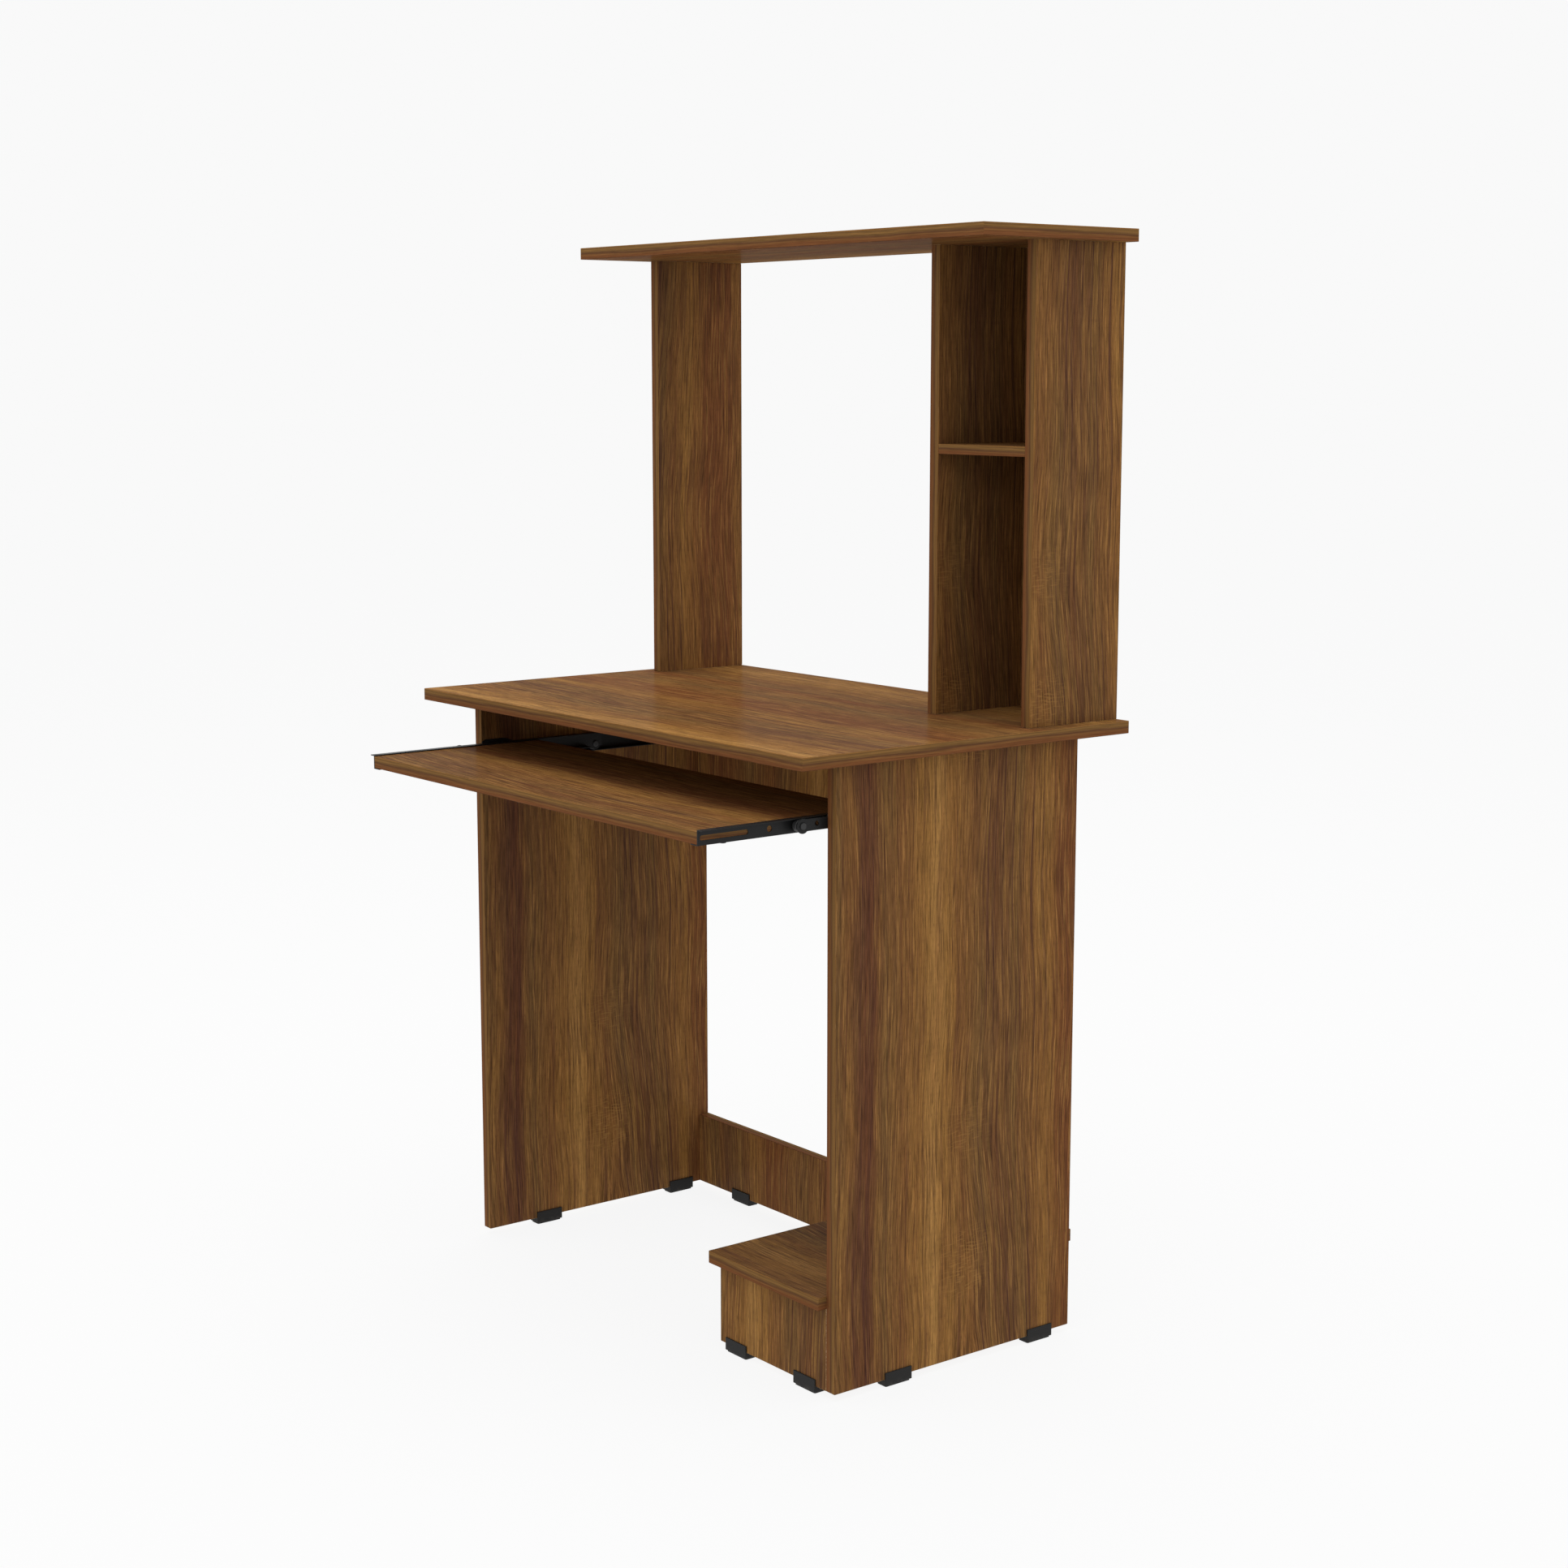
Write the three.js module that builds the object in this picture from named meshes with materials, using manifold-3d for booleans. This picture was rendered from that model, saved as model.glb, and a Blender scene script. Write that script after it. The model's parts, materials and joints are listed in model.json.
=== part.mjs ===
// Computer desk with a two-bay hutch, a pull-out keyboard tray on roller slides
// and a raised shelf for a computer tower.
//
// Frame: millimetres, +X to the sitter's right, +Y towards the back, +Z up.
// The origin is on the floor, under the middle of the desk with its tray drawn out.

import * as THREE from 'three';
import { mergeVertices } from 'three/addons/utils/BufferGeometryUtils.js';
import Module from 'manifold-3d';

const wasm = await Module();
wasm.setup();

// ---------------------------------------------------------------- driving dimensions

const BOARD = 15; // thickness of every board but the middle shelf
const THIN_BOARD = 12; // the hutch's middle shelf
const HARDBOARD = 3; // the panel that closes the right bay's back
const REBATE = 5; // how far that panel reaches into the boards beside it

const DESK_WIDTH = 800;
const DESK_FRONT = -196.5;
const DESK_BACK = 300.5;
const DESK_TOP = 752;
const GLIDE_DROP = 9; // the glides lift every bottom edge this far off the floor

const FRAME_HALF = 379; // half the width over the side panels and the hutch
const FRAME_FRONT = -132;
const FRAME_BACK = 236.5;

const MODESTY_HEIGHT = 150;
const PLINTH_HEIGHT = 98.5; // back stretcher and plinth, which carry the tower shelf

const TOWER_SHELF_LEFT = 154;
const TOWER_SHELF_FRONT = -144;
const TOWER_SHELF_BACK = 254;
const PLINTH_LEFT = 162;

const HUTCH_HEIGHT = 559; // desktop to the underside of the top shelf
const HUTCH_FRONT = 158;
const DIVIDER_LEFT = 198.5;
const MIDDLE_SHELF_TOP = 1077.5;
const TOP_SHELF_FRONT = 57.5;

const TRAY_HALF = 350;
const TRAY_DEPTH = 250;
const TRAY_FRONT = -300.5; // drawn half out
const TRAY_TOP = 676.5;

const SHEET = 1; // rolled steel of the slides
const SLIDE_LENGTH = 350;
const CABINET_RAIL_FRONT = -175;
const CHANNEL_FRONT = -108.5; // where the cabinet rail's flanges start
const CHANNEL_BOTTOM = 653.5;
const CHANNEL_TOP = 676.5;
const CHANNEL_WIDTH = 11;
const TRAY_RAIL_BOTTOM = 660.5;
const TRAY_RAIL_TOP = 678;
const TRAY_RAIL_LEDGE = 13; // lower flange, under the tray
const TRAY_RAIL_RUNNER = 9; // upper flange, on the front roller

const FRONT_ROLLER = { y: -166.5, z: 669.5, radius: 7.2 };
const REAR_ROLLER = { y: 39.5, z: 663.8, radius: 9 };
const ROLLER_INNER_FACE = 353.5; // distance from the desk's centre plane
const ROLLER_WIDTH = 6.5;
const RIVET_RADIUS = 2;

const GAP = 0.3; // running and fitting clearance
const GLIDE = { length: 40, wall: 2, height: 17.5, soleInset: 1.5, soleDepth: 3 };
const PANEL_GLIDE_FRONT = 75; // from a side panel's front edge to its front glide
const PANEL_GLIDE_BACK = 29; // and from its back edge to its rear glide
const PLINTH_GLIDE_LEFT = 12; // from the plinth's left end to its first glide
const PLINTH_GLIDE_RIGHT = 18.5; // and from the right panel's inner face to its second
const STRETCHER_GLIDE_REACH = 285; // from the desk's centre plane to each glide's far end

const DOWEL = { radius: 4, length: 30, shallow: 10 }; // shallow: its depth in a board's face
const CAM = { y: 60, drop: 24, radius: 7.5, depth: 12 }; // drop: below the desktop
const WOOD_SCREW = { headRadius: 4.8, shankRadius: 2.5, headDepth: 4, reach: 34 };
const PAN_SCREW = { headRadius: 3.8, shankRadius: 1.9, headHeight: 1.6, reach: 11 };
const ROUND = 16; // facets on a small circle
const ROLLER_FACETS = 24;

// ---------------------------------------------------------------- derived places

const DESK_UNDERSIDE = DESK_TOP - BOARD;
const PANEL_INNER = FRAME_HALF - BOARD;
const HUTCH_TOP = DESK_TOP + HUTCH_HEIGHT;
const TRAY_BOTTOM = TRAY_TOP - BOARD;
const CABINET_RAIL_BACK = CABINET_RAIL_FRONT + SLIDE_LENGTH;
const TRAY_RAIL_BACK = TRAY_FRONT + SLIDE_LENGTH;
const TOWER_SHELF_BOTTOM = GLIDE_DROP + PLINTH_HEIGHT;
const HUTCH_MIDDLE = (HUTCH_FRONT + DESK_BACK) / 2;
const BAY_BACK_FRONT = DESK_BACK - HARDBOARD;
const SIDES = { left: -1, right: 1 };

// ---------------------------------------------------------------- finishes

const finish = (color, roughness, metalness) =>
  new THREE.MeshStandardMaterial({ color, roughness, metalness });

const oak = finish(0xa98358, 0.5, 0);
const oakHardboard = finish(0x9a7650, 0.6, 0);
const blackSteel = finish(0x2b2b2d, 0.45, 0.6);
const blackPlastic = finish(0x1d1d1f, 0.55, 0);
const nylon = finish(0x3a3b3d, 0.4, 0);
const zinc = finish(0xb9bcc0, 0.35, 0.9);
const beech = finish(0xcaa679, 0.7, 0);

// ---------------------------------------------------------------- solids

// A closed mesh as a manifold solid: only its shared corner positions matter.
function solid(geometry) {
  const bare = geometry.clone();
  bare.deleteAttribute('normal');
  bare.deleteAttribute('uv');
  const merged = mergeVertices(bare, 1e-4);
  return new wasm.Manifold(new wasm.Mesh({
    numProp: 3,
    vertProperties: merged.attributes.position.array,
    triVerts: new Uint32Array(merged.index.array),
  }));
}

function geometryOf(manifold) {
  const mesh = manifold.getMesh();
  const geometry = new THREE.BufferGeometry();
  geometry.setAttribute('position', new THREE.BufferAttribute(mesh.vertProperties, 3));
  geometry.setIndex(new THREE.BufferAttribute(mesh.triVerts, 1));
  return geometry;
}

const join = (pieces) => pieces.map(solid).reduce((whole, piece) => whole.add(piece));

function cut(body, cutters) {
  return cutters.map(solid).reduce((whole, cutter) => whole.subtract(cutter), body);
}

// A box between two opposite corners.
function block([x0, y0, z0], [x1, y1, z1]) {
  const box = new THREE.BoxGeometry(x1 - x0, y1 - y0, z1 - z0);
  return box.translate((x0 + x1) / 2, (y0 + y1) / 2, (z0 + z1) / 2);
}

// Turns a shape's own axis, Y, to a world axis.
function pointAlong(geometry, axis) {
  if (axis === 'x') return geometry.rotateZ(-Math.PI / 2);
  if (axis === 'z') return geometry.rotateX(Math.PI / 2);
  return geometry;
}

// A round bar along an axis, from one end to the other, through a centre point.
function bar(axis, radius, from, to, [x, y, z]) {
  const low = Math.min(from, to);
  const high = Math.max(from, to);
  const rod = pointAlong(new THREE.CylinderGeometry(radius, radius, high - low, ROUND), axis);
  const centre = { x, y, z, [axis]: (low + high) / 2 };
  return rod.translate(centre.x, centre.y, centre.z);
}

// A turned piece on the X axis. The profile lists [distance from the axis, distance from the
// desk's centre plane]; it starts and ends on the axis, or closes on itself round a bore.
function turned(profile, side, [y, z], closed, facets = ROUND) {
  const points = profile.map(([radius, x]) => new THREE.Vector2(radius, side * x));
  if (THREE.ShapeUtils.area(points) < 0) points.reverse();
  if (closed) points.push(points[0].clone());
  return pointAlong(new THREE.LatheGeometry(points, facets), 'x').translate(0, y, z);
}

// A sheet cut to an outline in the Y-Z plane, standing between two distances from the
// desk's centre plane.
const OUTLINE_TO_WORLD = new THREE.Matrix4().makeBasis(
  new THREE.Vector3(0, 1, 0), new THREE.Vector3(0, 0, 1), new THREE.Vector3(1, 0, 0));

function sheet(outline, side, near, far) {
  const depth = Math.abs(far - near);
  const plate = new THREE.ExtrudeGeometry(outline, { depth, bevelEnabled: false, curveSegments: 10 });
  return plate.applyMatrix4(OUTLINE_TO_WORLD).translate(Math.min(side * near, side * far), 0, 0);
}

function rectangle(y0, z0, y1, z1) {
  return new THREE.Shape([[y0, z0], [y1, z0], [y1, z1], [y0, z1]]
    .map(([y, z]) => new THREE.Vector2(y, z)));
}

function disc(y, z, radius) {
  return new THREE.Shape().absarc(y, z, radius, 0, 2 * Math.PI);
}

// ---------------------------------------------------------------- assembly

const desk = new THREE.Group();

function add(name, geometry, material) {
  const mesh = new THREE.Mesh(geometry, material);
  mesh.name = name;
  desk.add(mesh);
}

// Each board collects here what is cut from it: its fasteners' holes and its rebates.
const drillings = new Map();

function drill(boards, cutter) {
  for (const board of boards) {
    drillings.set(board, [...(drillings.get(board) ?? []), cutter]);
  }
}

// ---------------------------------------------------------------- fasteners

// A wooden dowel, centred on a joint between two boards, along an axis.
function dowel(name, boards, axis, centre, intoFirst) {
  const start = centre['xyz'.indexOf(axis)];
  const [low, high] = [start - intoFirst, start - intoFirst + DOWEL.length];
  add(name, bar(axis, DOWEL.radius, low, high, centre), beech);
  drill(boards, bar(axis, DOWEL.radius + GAP, low - GAP, high + GAP, centre));
}

// Eccentric cam in the panel's inner face, and the bolt that it draws down from the desktop.
function camAndBolt(label, side) {
  const panel = `${label}_side_panel`;
  const z = DESK_UNDERSIDE - CAM.drop;
  const middle = side * (PANEL_INNER + BOARD / 2);
  const at = [middle, CAM.y, z];
  const [inner, outer] = [side * (PANEL_INNER + GAP), side * (PANEL_INNER + CAM.depth)];
  const bolt = { radius: 2.5, head: 3.6, headHeight: 3.7, end: DESK_TOP - 4 };
  const room = bolt.head + 2 * GAP;
  const slot = block([middle - room, CAM.y - room, z - bolt.headHeight - GAP],
    [middle + room, CAM.y + room, z + CAM.radius + 1]);
  add(`${label}_cam`, geometryOf(cut(solid(bar('x', CAM.radius, inner, outer, at)), [slot])), zinc);
  drill([panel], bar('x', CAM.radius + GAP, side * (PANEL_INNER - 1), outer + side * GAP, at));

  add(`${label}_cam_bolt`, geometryOf(join([
    bar('z', bolt.radius, z, bolt.end, at),
    bar('z', bolt.head, z - bolt.headHeight, z + GAP, at),
  ])), zinc);
  drill([panel], bar('z', bolt.radius + 5 * GAP, z, DESK_UNDERSIDE + 1, at));
  drill(['desktop'], bar('z', bolt.radius + GAP, DESK_UNDERSIDE - 1, bolt.end + GAP, at));
}

// A screw up through the desktop into the foot of a hutch upright.
function uprightScrew(name, board, x) {
  const { headRadius, shankRadius, headDepth, reach } = WOOD_SCREW;
  const at = [x, HUTCH_MIDDLE, 0];
  const headTop = DESK_UNDERSIDE + headDepth;
  const tip = DESK_TOP + reach;
  const screw = join([
    bar('z', headRadius, DESK_UNDERSIDE + GAP, headTop, at),
    bar('z', shankRadius, headTop - 1, tip, at),
  ]);
  add(name, geometryOf(screw), zinc);
  drill(['desktop'], bar('z', headRadius + GAP, DESK_UNDERSIDE - 1, headTop + GAP, at));
  drill(['desktop', board], bar('z', shankRadius + GAP, DESK_UNDERSIDE, tip + GAP, at));
}

for (const [label, side] of Object.entries(SIDES)) {
  const panel = `${label}_side_panel`;
  const face = side * PANEL_INNER;
  const crossBoardY = FRAME_BACK - BOARD / 2;
  const intoFirst = side > 0 ? DOWEL.length - DOWEL.shallow : DOWEL.shallow;
  camAndBolt(label, side);
  dowel(`${label}_modesty_dowel`, [panel, 'modesty_panel'], 'x',
    [face, crossBoardY, DESK_UNDERSIDE - MODESTY_HEIGHT / 2], intoFirst);
  dowel(`${label}_stretcher_dowel`, [panel, 'back_stretcher'], 'x',
    [face, crossBoardY, GLIDE_DROP + PLINTH_HEIGHT / 2], intoFirst);
}

const rightPanelDowel = (name, board, y, z) =>
  dowel(name, [board, 'right_side_panel'], 'x', [PANEL_INNER, y, z], DOWEL.length - DOWEL.shallow);
rightPanelDowel('tower_shelf_dowel', 'tower_shelf',
  (TOWER_SHELF_FRONT + TOWER_SHELF_BACK) / 2, TOWER_SHELF_BOTTOM + BOARD / 2);
rightPanelDowel('plinth_dowel', 'tower_plinth',
  FRAME_FRONT + BOARD / 2, GLIDE_DROP + PLINTH_HEIGHT / 2);

const uprights = {
  hutch_left_upright: -FRAME_HALF,
  hutch_divider: DIVIDER_LEFT,
  hutch_right_upright: PANEL_INNER,
};

for (const [name, left] of Object.entries(uprights)) {
  const x = left + BOARD / 2;
  uprightScrew(`${name}_screw`, name, x);
  dowel(`${name}_dowel`, [name, 'top_shelf'], 'z',
    [x, HUTCH_MIDDLE, HUTCH_TOP], DOWEL.length - DOWEL.shallow);
}

const middleShelfLeft = DIVIDER_LEFT + BOARD;
const middleShelfCentre = MIDDLE_SHELF_TOP - THIN_BOARD / 2;
dowel('middle_shelf_left_dowel', ['hutch_divider', 'middle_shelf'], 'x',
  [middleShelfLeft, HUTCH_MIDDLE, middleShelfCentre], DOWEL.shallow);
dowel('middle_shelf_right_dowel', ['middle_shelf', 'hutch_right_upright'], 'x',
  [PANEL_INNER, HUTCH_MIDDLE, middleShelfCentre], DOWEL.length - DOWEL.shallow);

// ---------------------------------------------------------------- back of the right bay

// The panel lies in a rebate in each board beside it, flush with their rear edges.
const [bayBackLeft, bayBackRight] = [middleShelfLeft - REBATE, PANEL_INNER + REBATE];
add('bay_back', block([bayBackLeft, BAY_BACK_FRONT, DESK_TOP], [bayBackRight, DESK_BACK, HUTCH_TOP]),
  oakHardboard);
drill(['hutch_divider', 'hutch_right_upright'],
  block([bayBackLeft - GAP, BAY_BACK_FRONT - GAP, DESK_TOP - 1],
    [bayBackRight + GAP, DESK_BACK + 1, HUTCH_TOP + 1]));

// ---------------------------------------------------------------- roller slides

const CABINET_SCREWS = [{ y: -118.5, z: 668.5 }, { y: 120, z: 665 }];
const TRAY_SCREWS = [TRAY_FRONT + 38.5, TRAY_FRONT + 208.5];

// Pan-headed screws: one row through the cabinet rail into the side panel, one up through
// the tray rail's lower flange into the tray.
function slideScrews(label, side) {
  const panel = `${label}_side_panel`;
  const { headRadius, shankRadius, headHeight, reach } = PAN_SCREW;
  CABINET_SCREWS.forEach(({ y, z }, i) => {
    const web = PANEL_INNER - SHEET;
    const tip = PANEL_INNER + reach;
    const screw = join([
      bar('x', headRadius, side * (web - headHeight), side * (web - GAP), [0, y, z]),
      bar('x', shankRadius, side * (web - headHeight / 2), side * tip, [0, y, z]),
    ]);
    add(`${label}_cabinet_rail_screw_${i + 1}`, geometryOf(screw), zinc);
    drill([panel, `${label}_cabinet_rail`],
      bar('x', shankRadius + GAP, side * (web - 1), side * (tip + GAP), [0, y, z]));
  });
  TRAY_SCREWS.forEach((y, i) => {
    const centre = [side * (TRAY_HALF + SHEET - TRAY_RAIL_LEDGE / 2), y, 0];
    const tip = TRAY_BOTTOM + reach;
    const screw = join([
      bar('z', headRadius, TRAY_RAIL_BOTTOM - headHeight, TRAY_RAIL_BOTTOM - GAP, centre),
      bar('z', shankRadius, TRAY_RAIL_BOTTOM - headHeight / 2, tip, centre),
    ]);
    add(`${label}_tray_rail_screw_${i + 1}`, geometryOf(screw), zinc);
    drill(['keyboard_tray', `${label}_tray_rail`],
      bar('z', shankRadius + GAP, TRAY_RAIL_BOTTOM - 1, tip + GAP, centre));
  });
}

// The cabinet rail's web: a channel side, a screw ear that rises over it at the front, and
// a neck that carries the front roller clear of the side panel.
function cabinetWebOutline() {
  const ear = { start: -130.5, end: -84, top: 682 };
  const neck = { bottom: 663.5, top: 677 };
  const outline = new THREE.Shape();
  outline.moveTo(CABINET_RAIL_BACK, CHANNEL_BOTTOM);
  outline.lineTo(CABINET_RAIL_BACK, CHANNEL_TOP);
  outline.lineTo(ear.end, CHANNEL_TOP);
  outline.bezierCurveTo(ear.end - 8, ear.top, ear.end - 14, ear.top, ear.end - 22, ear.top);
  outline.lineTo(ear.start + 8, ear.top);
  outline.quadraticCurveTo(ear.start, ear.top, ear.start - 2, neck.top);
  outline.lineTo(FRONT_ROLLER.y, neck.top);
  outline.lineTo(FRONT_ROLLER.y, neck.bottom);
  outline.lineTo(ear.start - 4, neck.bottom);
  outline.quadraticCurveTo(ear.start + 6, neck.bottom, CHANNEL_FRONT, CHANNEL_BOTTOM);
  return outline;
}

// The web with its two flanges, turned towards the tray, and a low lip across each end of
// the channel that stops the rear roller.
function cabinetRail(side) {
  const [webNear, webFar] = [PANEL_INNER - SHEET, PANEL_INNER];
  const flangeNear = PANEL_INNER - CHANNEL_WIDTH;
  const lipHeight = 6;
  const noseRadius = 8.5;
  const neckHole = { y: -147, z: 671, radius: 3 };
  const flange = (y0, z0, y1, z1) => sheet(rectangle(y0, z0, y1, z1), side, flangeNear, webFar);
  const body = join([
    sheet(cabinetWebOutline(), side, webNear, webFar),
    sheet(disc(FRONT_ROLLER.y, FRONT_ROLLER.z, noseRadius), side, webNear, webFar),
    flange(CHANNEL_FRONT, CHANNEL_BOTTOM, CABINET_RAIL_BACK, CHANNEL_BOTTOM + SHEET),
    flange(CHANNEL_FRONT, CHANNEL_TOP - SHEET, CABINET_RAIL_BACK, CHANNEL_TOP),
    flange(CHANNEL_FRONT, CHANNEL_BOTTOM, CHANNEL_FRONT + SHEET, CHANNEL_BOTTOM + lipHeight),
    flange(CABINET_RAIL_BACK - SHEET, CHANNEL_BOTTOM, CABINET_RAIL_BACK, CHANNEL_BOTTOM + lipHeight),
  ]);
  const hole = (radius, y, z) => bar('x', radius, side * (webNear - 1), side * (webFar + 1), [0, y, z]);
  return [body, [
    hole(RIVET_RADIUS + GAP, FRONT_ROLLER.y, FRONT_ROLLER.z),
    hole(neckHole.radius, neckHole.y, neckHole.z),
  ]];
}

// A Z-section: a web on the tray's edge, a ledge under the tray and a runner that rides on
// the front roller. The ledge stops short of the round ear that carries the rear roller.
function trayRail(side) {
  const [webNear, webFar] = [TRAY_HALF, TRAY_HALF + SHEET];
  const ledgeBack = TRAY_RAIL_BACK - 24;
  const earRadius = 8;
  const slot = { front: TRAY_FRONT + 3, back: TRAY_FRONT + 68.5, z: 668.8, half: 2.8 };
  const round = [{ y: -203, z: 669, radius: 3.5 }, { y: -135.5, z: 669, radius: 3.2 }];
  const web = rectangle(TRAY_FRONT, TRAY_RAIL_BOTTOM, TRAY_RAIL_BACK, TRAY_RAIL_TOP);
  const ledge = rectangle(TRAY_FRONT, TRAY_RAIL_BOTTOM, ledgeBack, TRAY_BOTTOM);
  const runner = rectangle(TRAY_FRONT, TRAY_RAIL_TOP - SHEET, TRAY_RAIL_BACK, TRAY_RAIL_TOP);
  const body = join([
    sheet(web, side, webNear, webFar),
    sheet(ledge, side, webFar - TRAY_RAIL_LEDGE, webFar),
    sheet(runner, side, webNear, webNear + TRAY_RAIL_RUNNER),
    sheet(disc(REAR_ROLLER.y, REAR_ROLLER.z, earRadius), side, webNear, webFar),
  ]);
  const hole = (radius, y, z) => bar('x', radius, side * (webNear - 1), side * (webFar + 1), [0, y, z]);
  const [slotStart, slotEnd] = [slot.front + slot.half, slot.back - slot.half];
  const slotMiddle = rectangle(slotStart, slot.z - slot.half, slotEnd, slot.z + slot.half);
  return [body, [
    sheet(slotMiddle, side, webNear - 1, webFar + 1),
    hole(slot.half, slotStart, slot.z),
    hole(slot.half, slotEnd, slot.z),
    ...round.map(({ y, z, radius }) => hole(radius, y, z)),
    hole(RIVET_RADIUS + GAP, REAR_ROLLER.y, REAR_ROLLER.z),
  ]];
}

// A nylon roller: a rim with a chamfered tread and a bore for its rivet.
function roller({ y, z, radius }, side) {
  const near = ROLLER_INNER_FACE;
  const far = near + ROLLER_WIDTH;
  const bore = RIVET_RADIUS + GAP;
  const chamfer = 0.6;
  return turned([
    [bore, near],
    [radius - chamfer, near],
    [radius, near + chamfer],
    [radius, far - chamfer],
    [radius - chamfer, far],
    [bore, far],
  ], side, [y, z], true, ROLLER_FACETS);
}

// A rivet through a roller and the web that carries it, with a domed head outside the web,
// a shoulder that spaces the roller off it, and a flange that keeps the roller on.
function rivet({ y, z }, side, shoulder, head, keeper) {
  const [flangeRadius, headRadius] = [3.3, 4.2];
  return turned([
    [0, keeper[0]],
    [flangeRadius, keeper[0]],
    [flangeRadius, keeper[1]],
    [RIVET_RADIUS, keeper[1]],
    [RIVET_RADIUS, shoulder[0]],
    [flangeRadius, shoulder[0]],
    [flangeRadius, shoulder[1]],
    [RIVET_RADIUS, shoulder[1]],
    [RIVET_RADIUS, head[0]],
    [headRadius, head[0]],
    [flangeRadius, (head[0] + head[1]) / 2],
    [0, head[1]],
  ], side, [y, z], false);
}

for (const [label, side] of Object.entries(SIDES)) {
  slideScrews(label, side);
  const [near, far] = [ROLLER_INNER_FACE, ROLLER_INNER_FACE + ROLLER_WIDTH];
  add(`${label}_front_roller`, roller(FRONT_ROLLER, side), nylon);
  add(`${label}_rear_roller`, roller(REAR_ROLLER, side), nylon);
  const headHeight = 1.4;
  const keeper = [1, GAP]; // its two faces' distances from the roller
  const panelWeb = [PANEL_INNER - SHEET - GAP, PANEL_INNER + GAP];
  add(`${label}_front_roller_rivet`, rivet(FRONT_ROLLER, side, [far + GAP, panelWeb[0]],
    [panelWeb[1], panelWeb[1] + headHeight], keeper.map((gap) => near - gap)), zinc);
  const trayWeb = [TRAY_HALF + SHEET + GAP, TRAY_HALF - GAP];
  add(`${label}_rear_roller_rivet`, rivet(REAR_ROLLER, side, [near - GAP, trayWeb[0]],
    [trayWeb[1], trayWeb[1] - headHeight], keeper.map((gap) => far + gap)), zinc);
}

// ---------------------------------------------------------------- glides

// A plastic glide: a channel pushed onto a board's bottom edge, with a thick sole.
// along is the board's length axis, start where the glide begins, face the board's low face.
function glide(name, along, start, face) {
  const [low, high] = [face - GLIDE.wall, face + BOARD + GLIDE.wall];
  const end = start + GLIDE.length;
  const across = (a0, b0, z0, a1, b1, z1) => (along === 'y'
    ? block([b0, a0, z0], [b1, a1, z1])
    : block([a0, b0, z0], [a1, b1, z1]));
  const body = join([
    across(start + GLIDE.soleInset, low + GLIDE.soleInset, 0,
      end - GLIDE.soleInset, high - GLIDE.soleInset, GLIDE.soleDepth),
    across(start, low, GLIDE.soleDepth - 1, end, high, GLIDE.height),
  ]);
  const edge = across(start - 1, face, GLIDE_DROP, end + 1, face + BOARD, GLIDE.height + 1);
  add(name, geometryOf(cut(body, [edge])), blackPlastic);
}

for (const [label, side] of Object.entries(SIDES)) {
  const face = side > 0 ? PANEL_INNER : -FRAME_HALF;
  glide(`${label}_panel_front_glide`, 'y', FRAME_FRONT + PANEL_GLIDE_FRONT, face);
  glide(`${label}_panel_rear_glide`, 'y', FRAME_BACK - PANEL_GLIDE_BACK - GLIDE.length, face);
}
glide('plinth_left_glide', 'x', PLINTH_LEFT + PLINTH_GLIDE_LEFT, FRAME_FRONT);
glide('plinth_right_glide', 'x', PANEL_INNER - PLINTH_GLIDE_RIGHT - GLIDE.length, FRAME_FRONT);
glide('stretcher_left_glide', 'x', -STRETCHER_GLIDE_REACH, FRAME_BACK - BOARD);
glide('stretcher_right_glide', 'x', STRETCHER_GLIDE_REACH - GLIDE.length, FRAME_BACK - BOARD);

// ---------------------------------------------------------------- boards and rails

const boards = {
  desktop: [[-DESK_WIDTH / 2, DESK_FRONT, DESK_UNDERSIDE], [DESK_WIDTH / 2, DESK_BACK, DESK_TOP]],
  left_side_panel: [[-FRAME_HALF, FRAME_FRONT, GLIDE_DROP], [-PANEL_INNER, FRAME_BACK, DESK_UNDERSIDE]],
  right_side_panel: [[PANEL_INNER, FRAME_FRONT, GLIDE_DROP], [FRAME_HALF, FRAME_BACK, DESK_UNDERSIDE]],
  modesty_panel: [[-PANEL_INNER, FRAME_BACK - BOARD, DESK_UNDERSIDE - MODESTY_HEIGHT],
    [PANEL_INNER, FRAME_BACK, DESK_UNDERSIDE]],
  back_stretcher: [[-PANEL_INNER, FRAME_BACK - BOARD, GLIDE_DROP],
    [PANEL_INNER, FRAME_BACK, TOWER_SHELF_BOTTOM]],
  tower_shelf: [[TOWER_SHELF_LEFT, TOWER_SHELF_FRONT, TOWER_SHELF_BOTTOM],
    [PANEL_INNER, TOWER_SHELF_BACK, TOWER_SHELF_BOTTOM + BOARD]],
  tower_plinth: [[PLINTH_LEFT, FRAME_FRONT, GLIDE_DROP],
    [PANEL_INNER, FRAME_FRONT + BOARD, TOWER_SHELF_BOTTOM]],
  middle_shelf: [[middleShelfLeft, HUTCH_FRONT, MIDDLE_SHELF_TOP - THIN_BOARD],
    [PANEL_INNER, BAY_BACK_FRONT - GAP, MIDDLE_SHELF_TOP]],
  top_shelf: [[-DESK_WIDTH / 2, TOP_SHELF_FRONT, HUTCH_TOP],
    [DESK_WIDTH / 2, DESK_BACK, HUTCH_TOP + BOARD]],
  keyboard_tray: [[-TRAY_HALF, TRAY_FRONT, TRAY_BOTTOM], [TRAY_HALF, TRAY_FRONT + TRAY_DEPTH, TRAY_TOP]],
};
for (const [name, left] of Object.entries(uprights)) {
  boards[name] = [[left, HUTCH_FRONT, DESK_TOP], [left + BOARD, DESK_BACK, HUTCH_TOP]];
}

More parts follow.
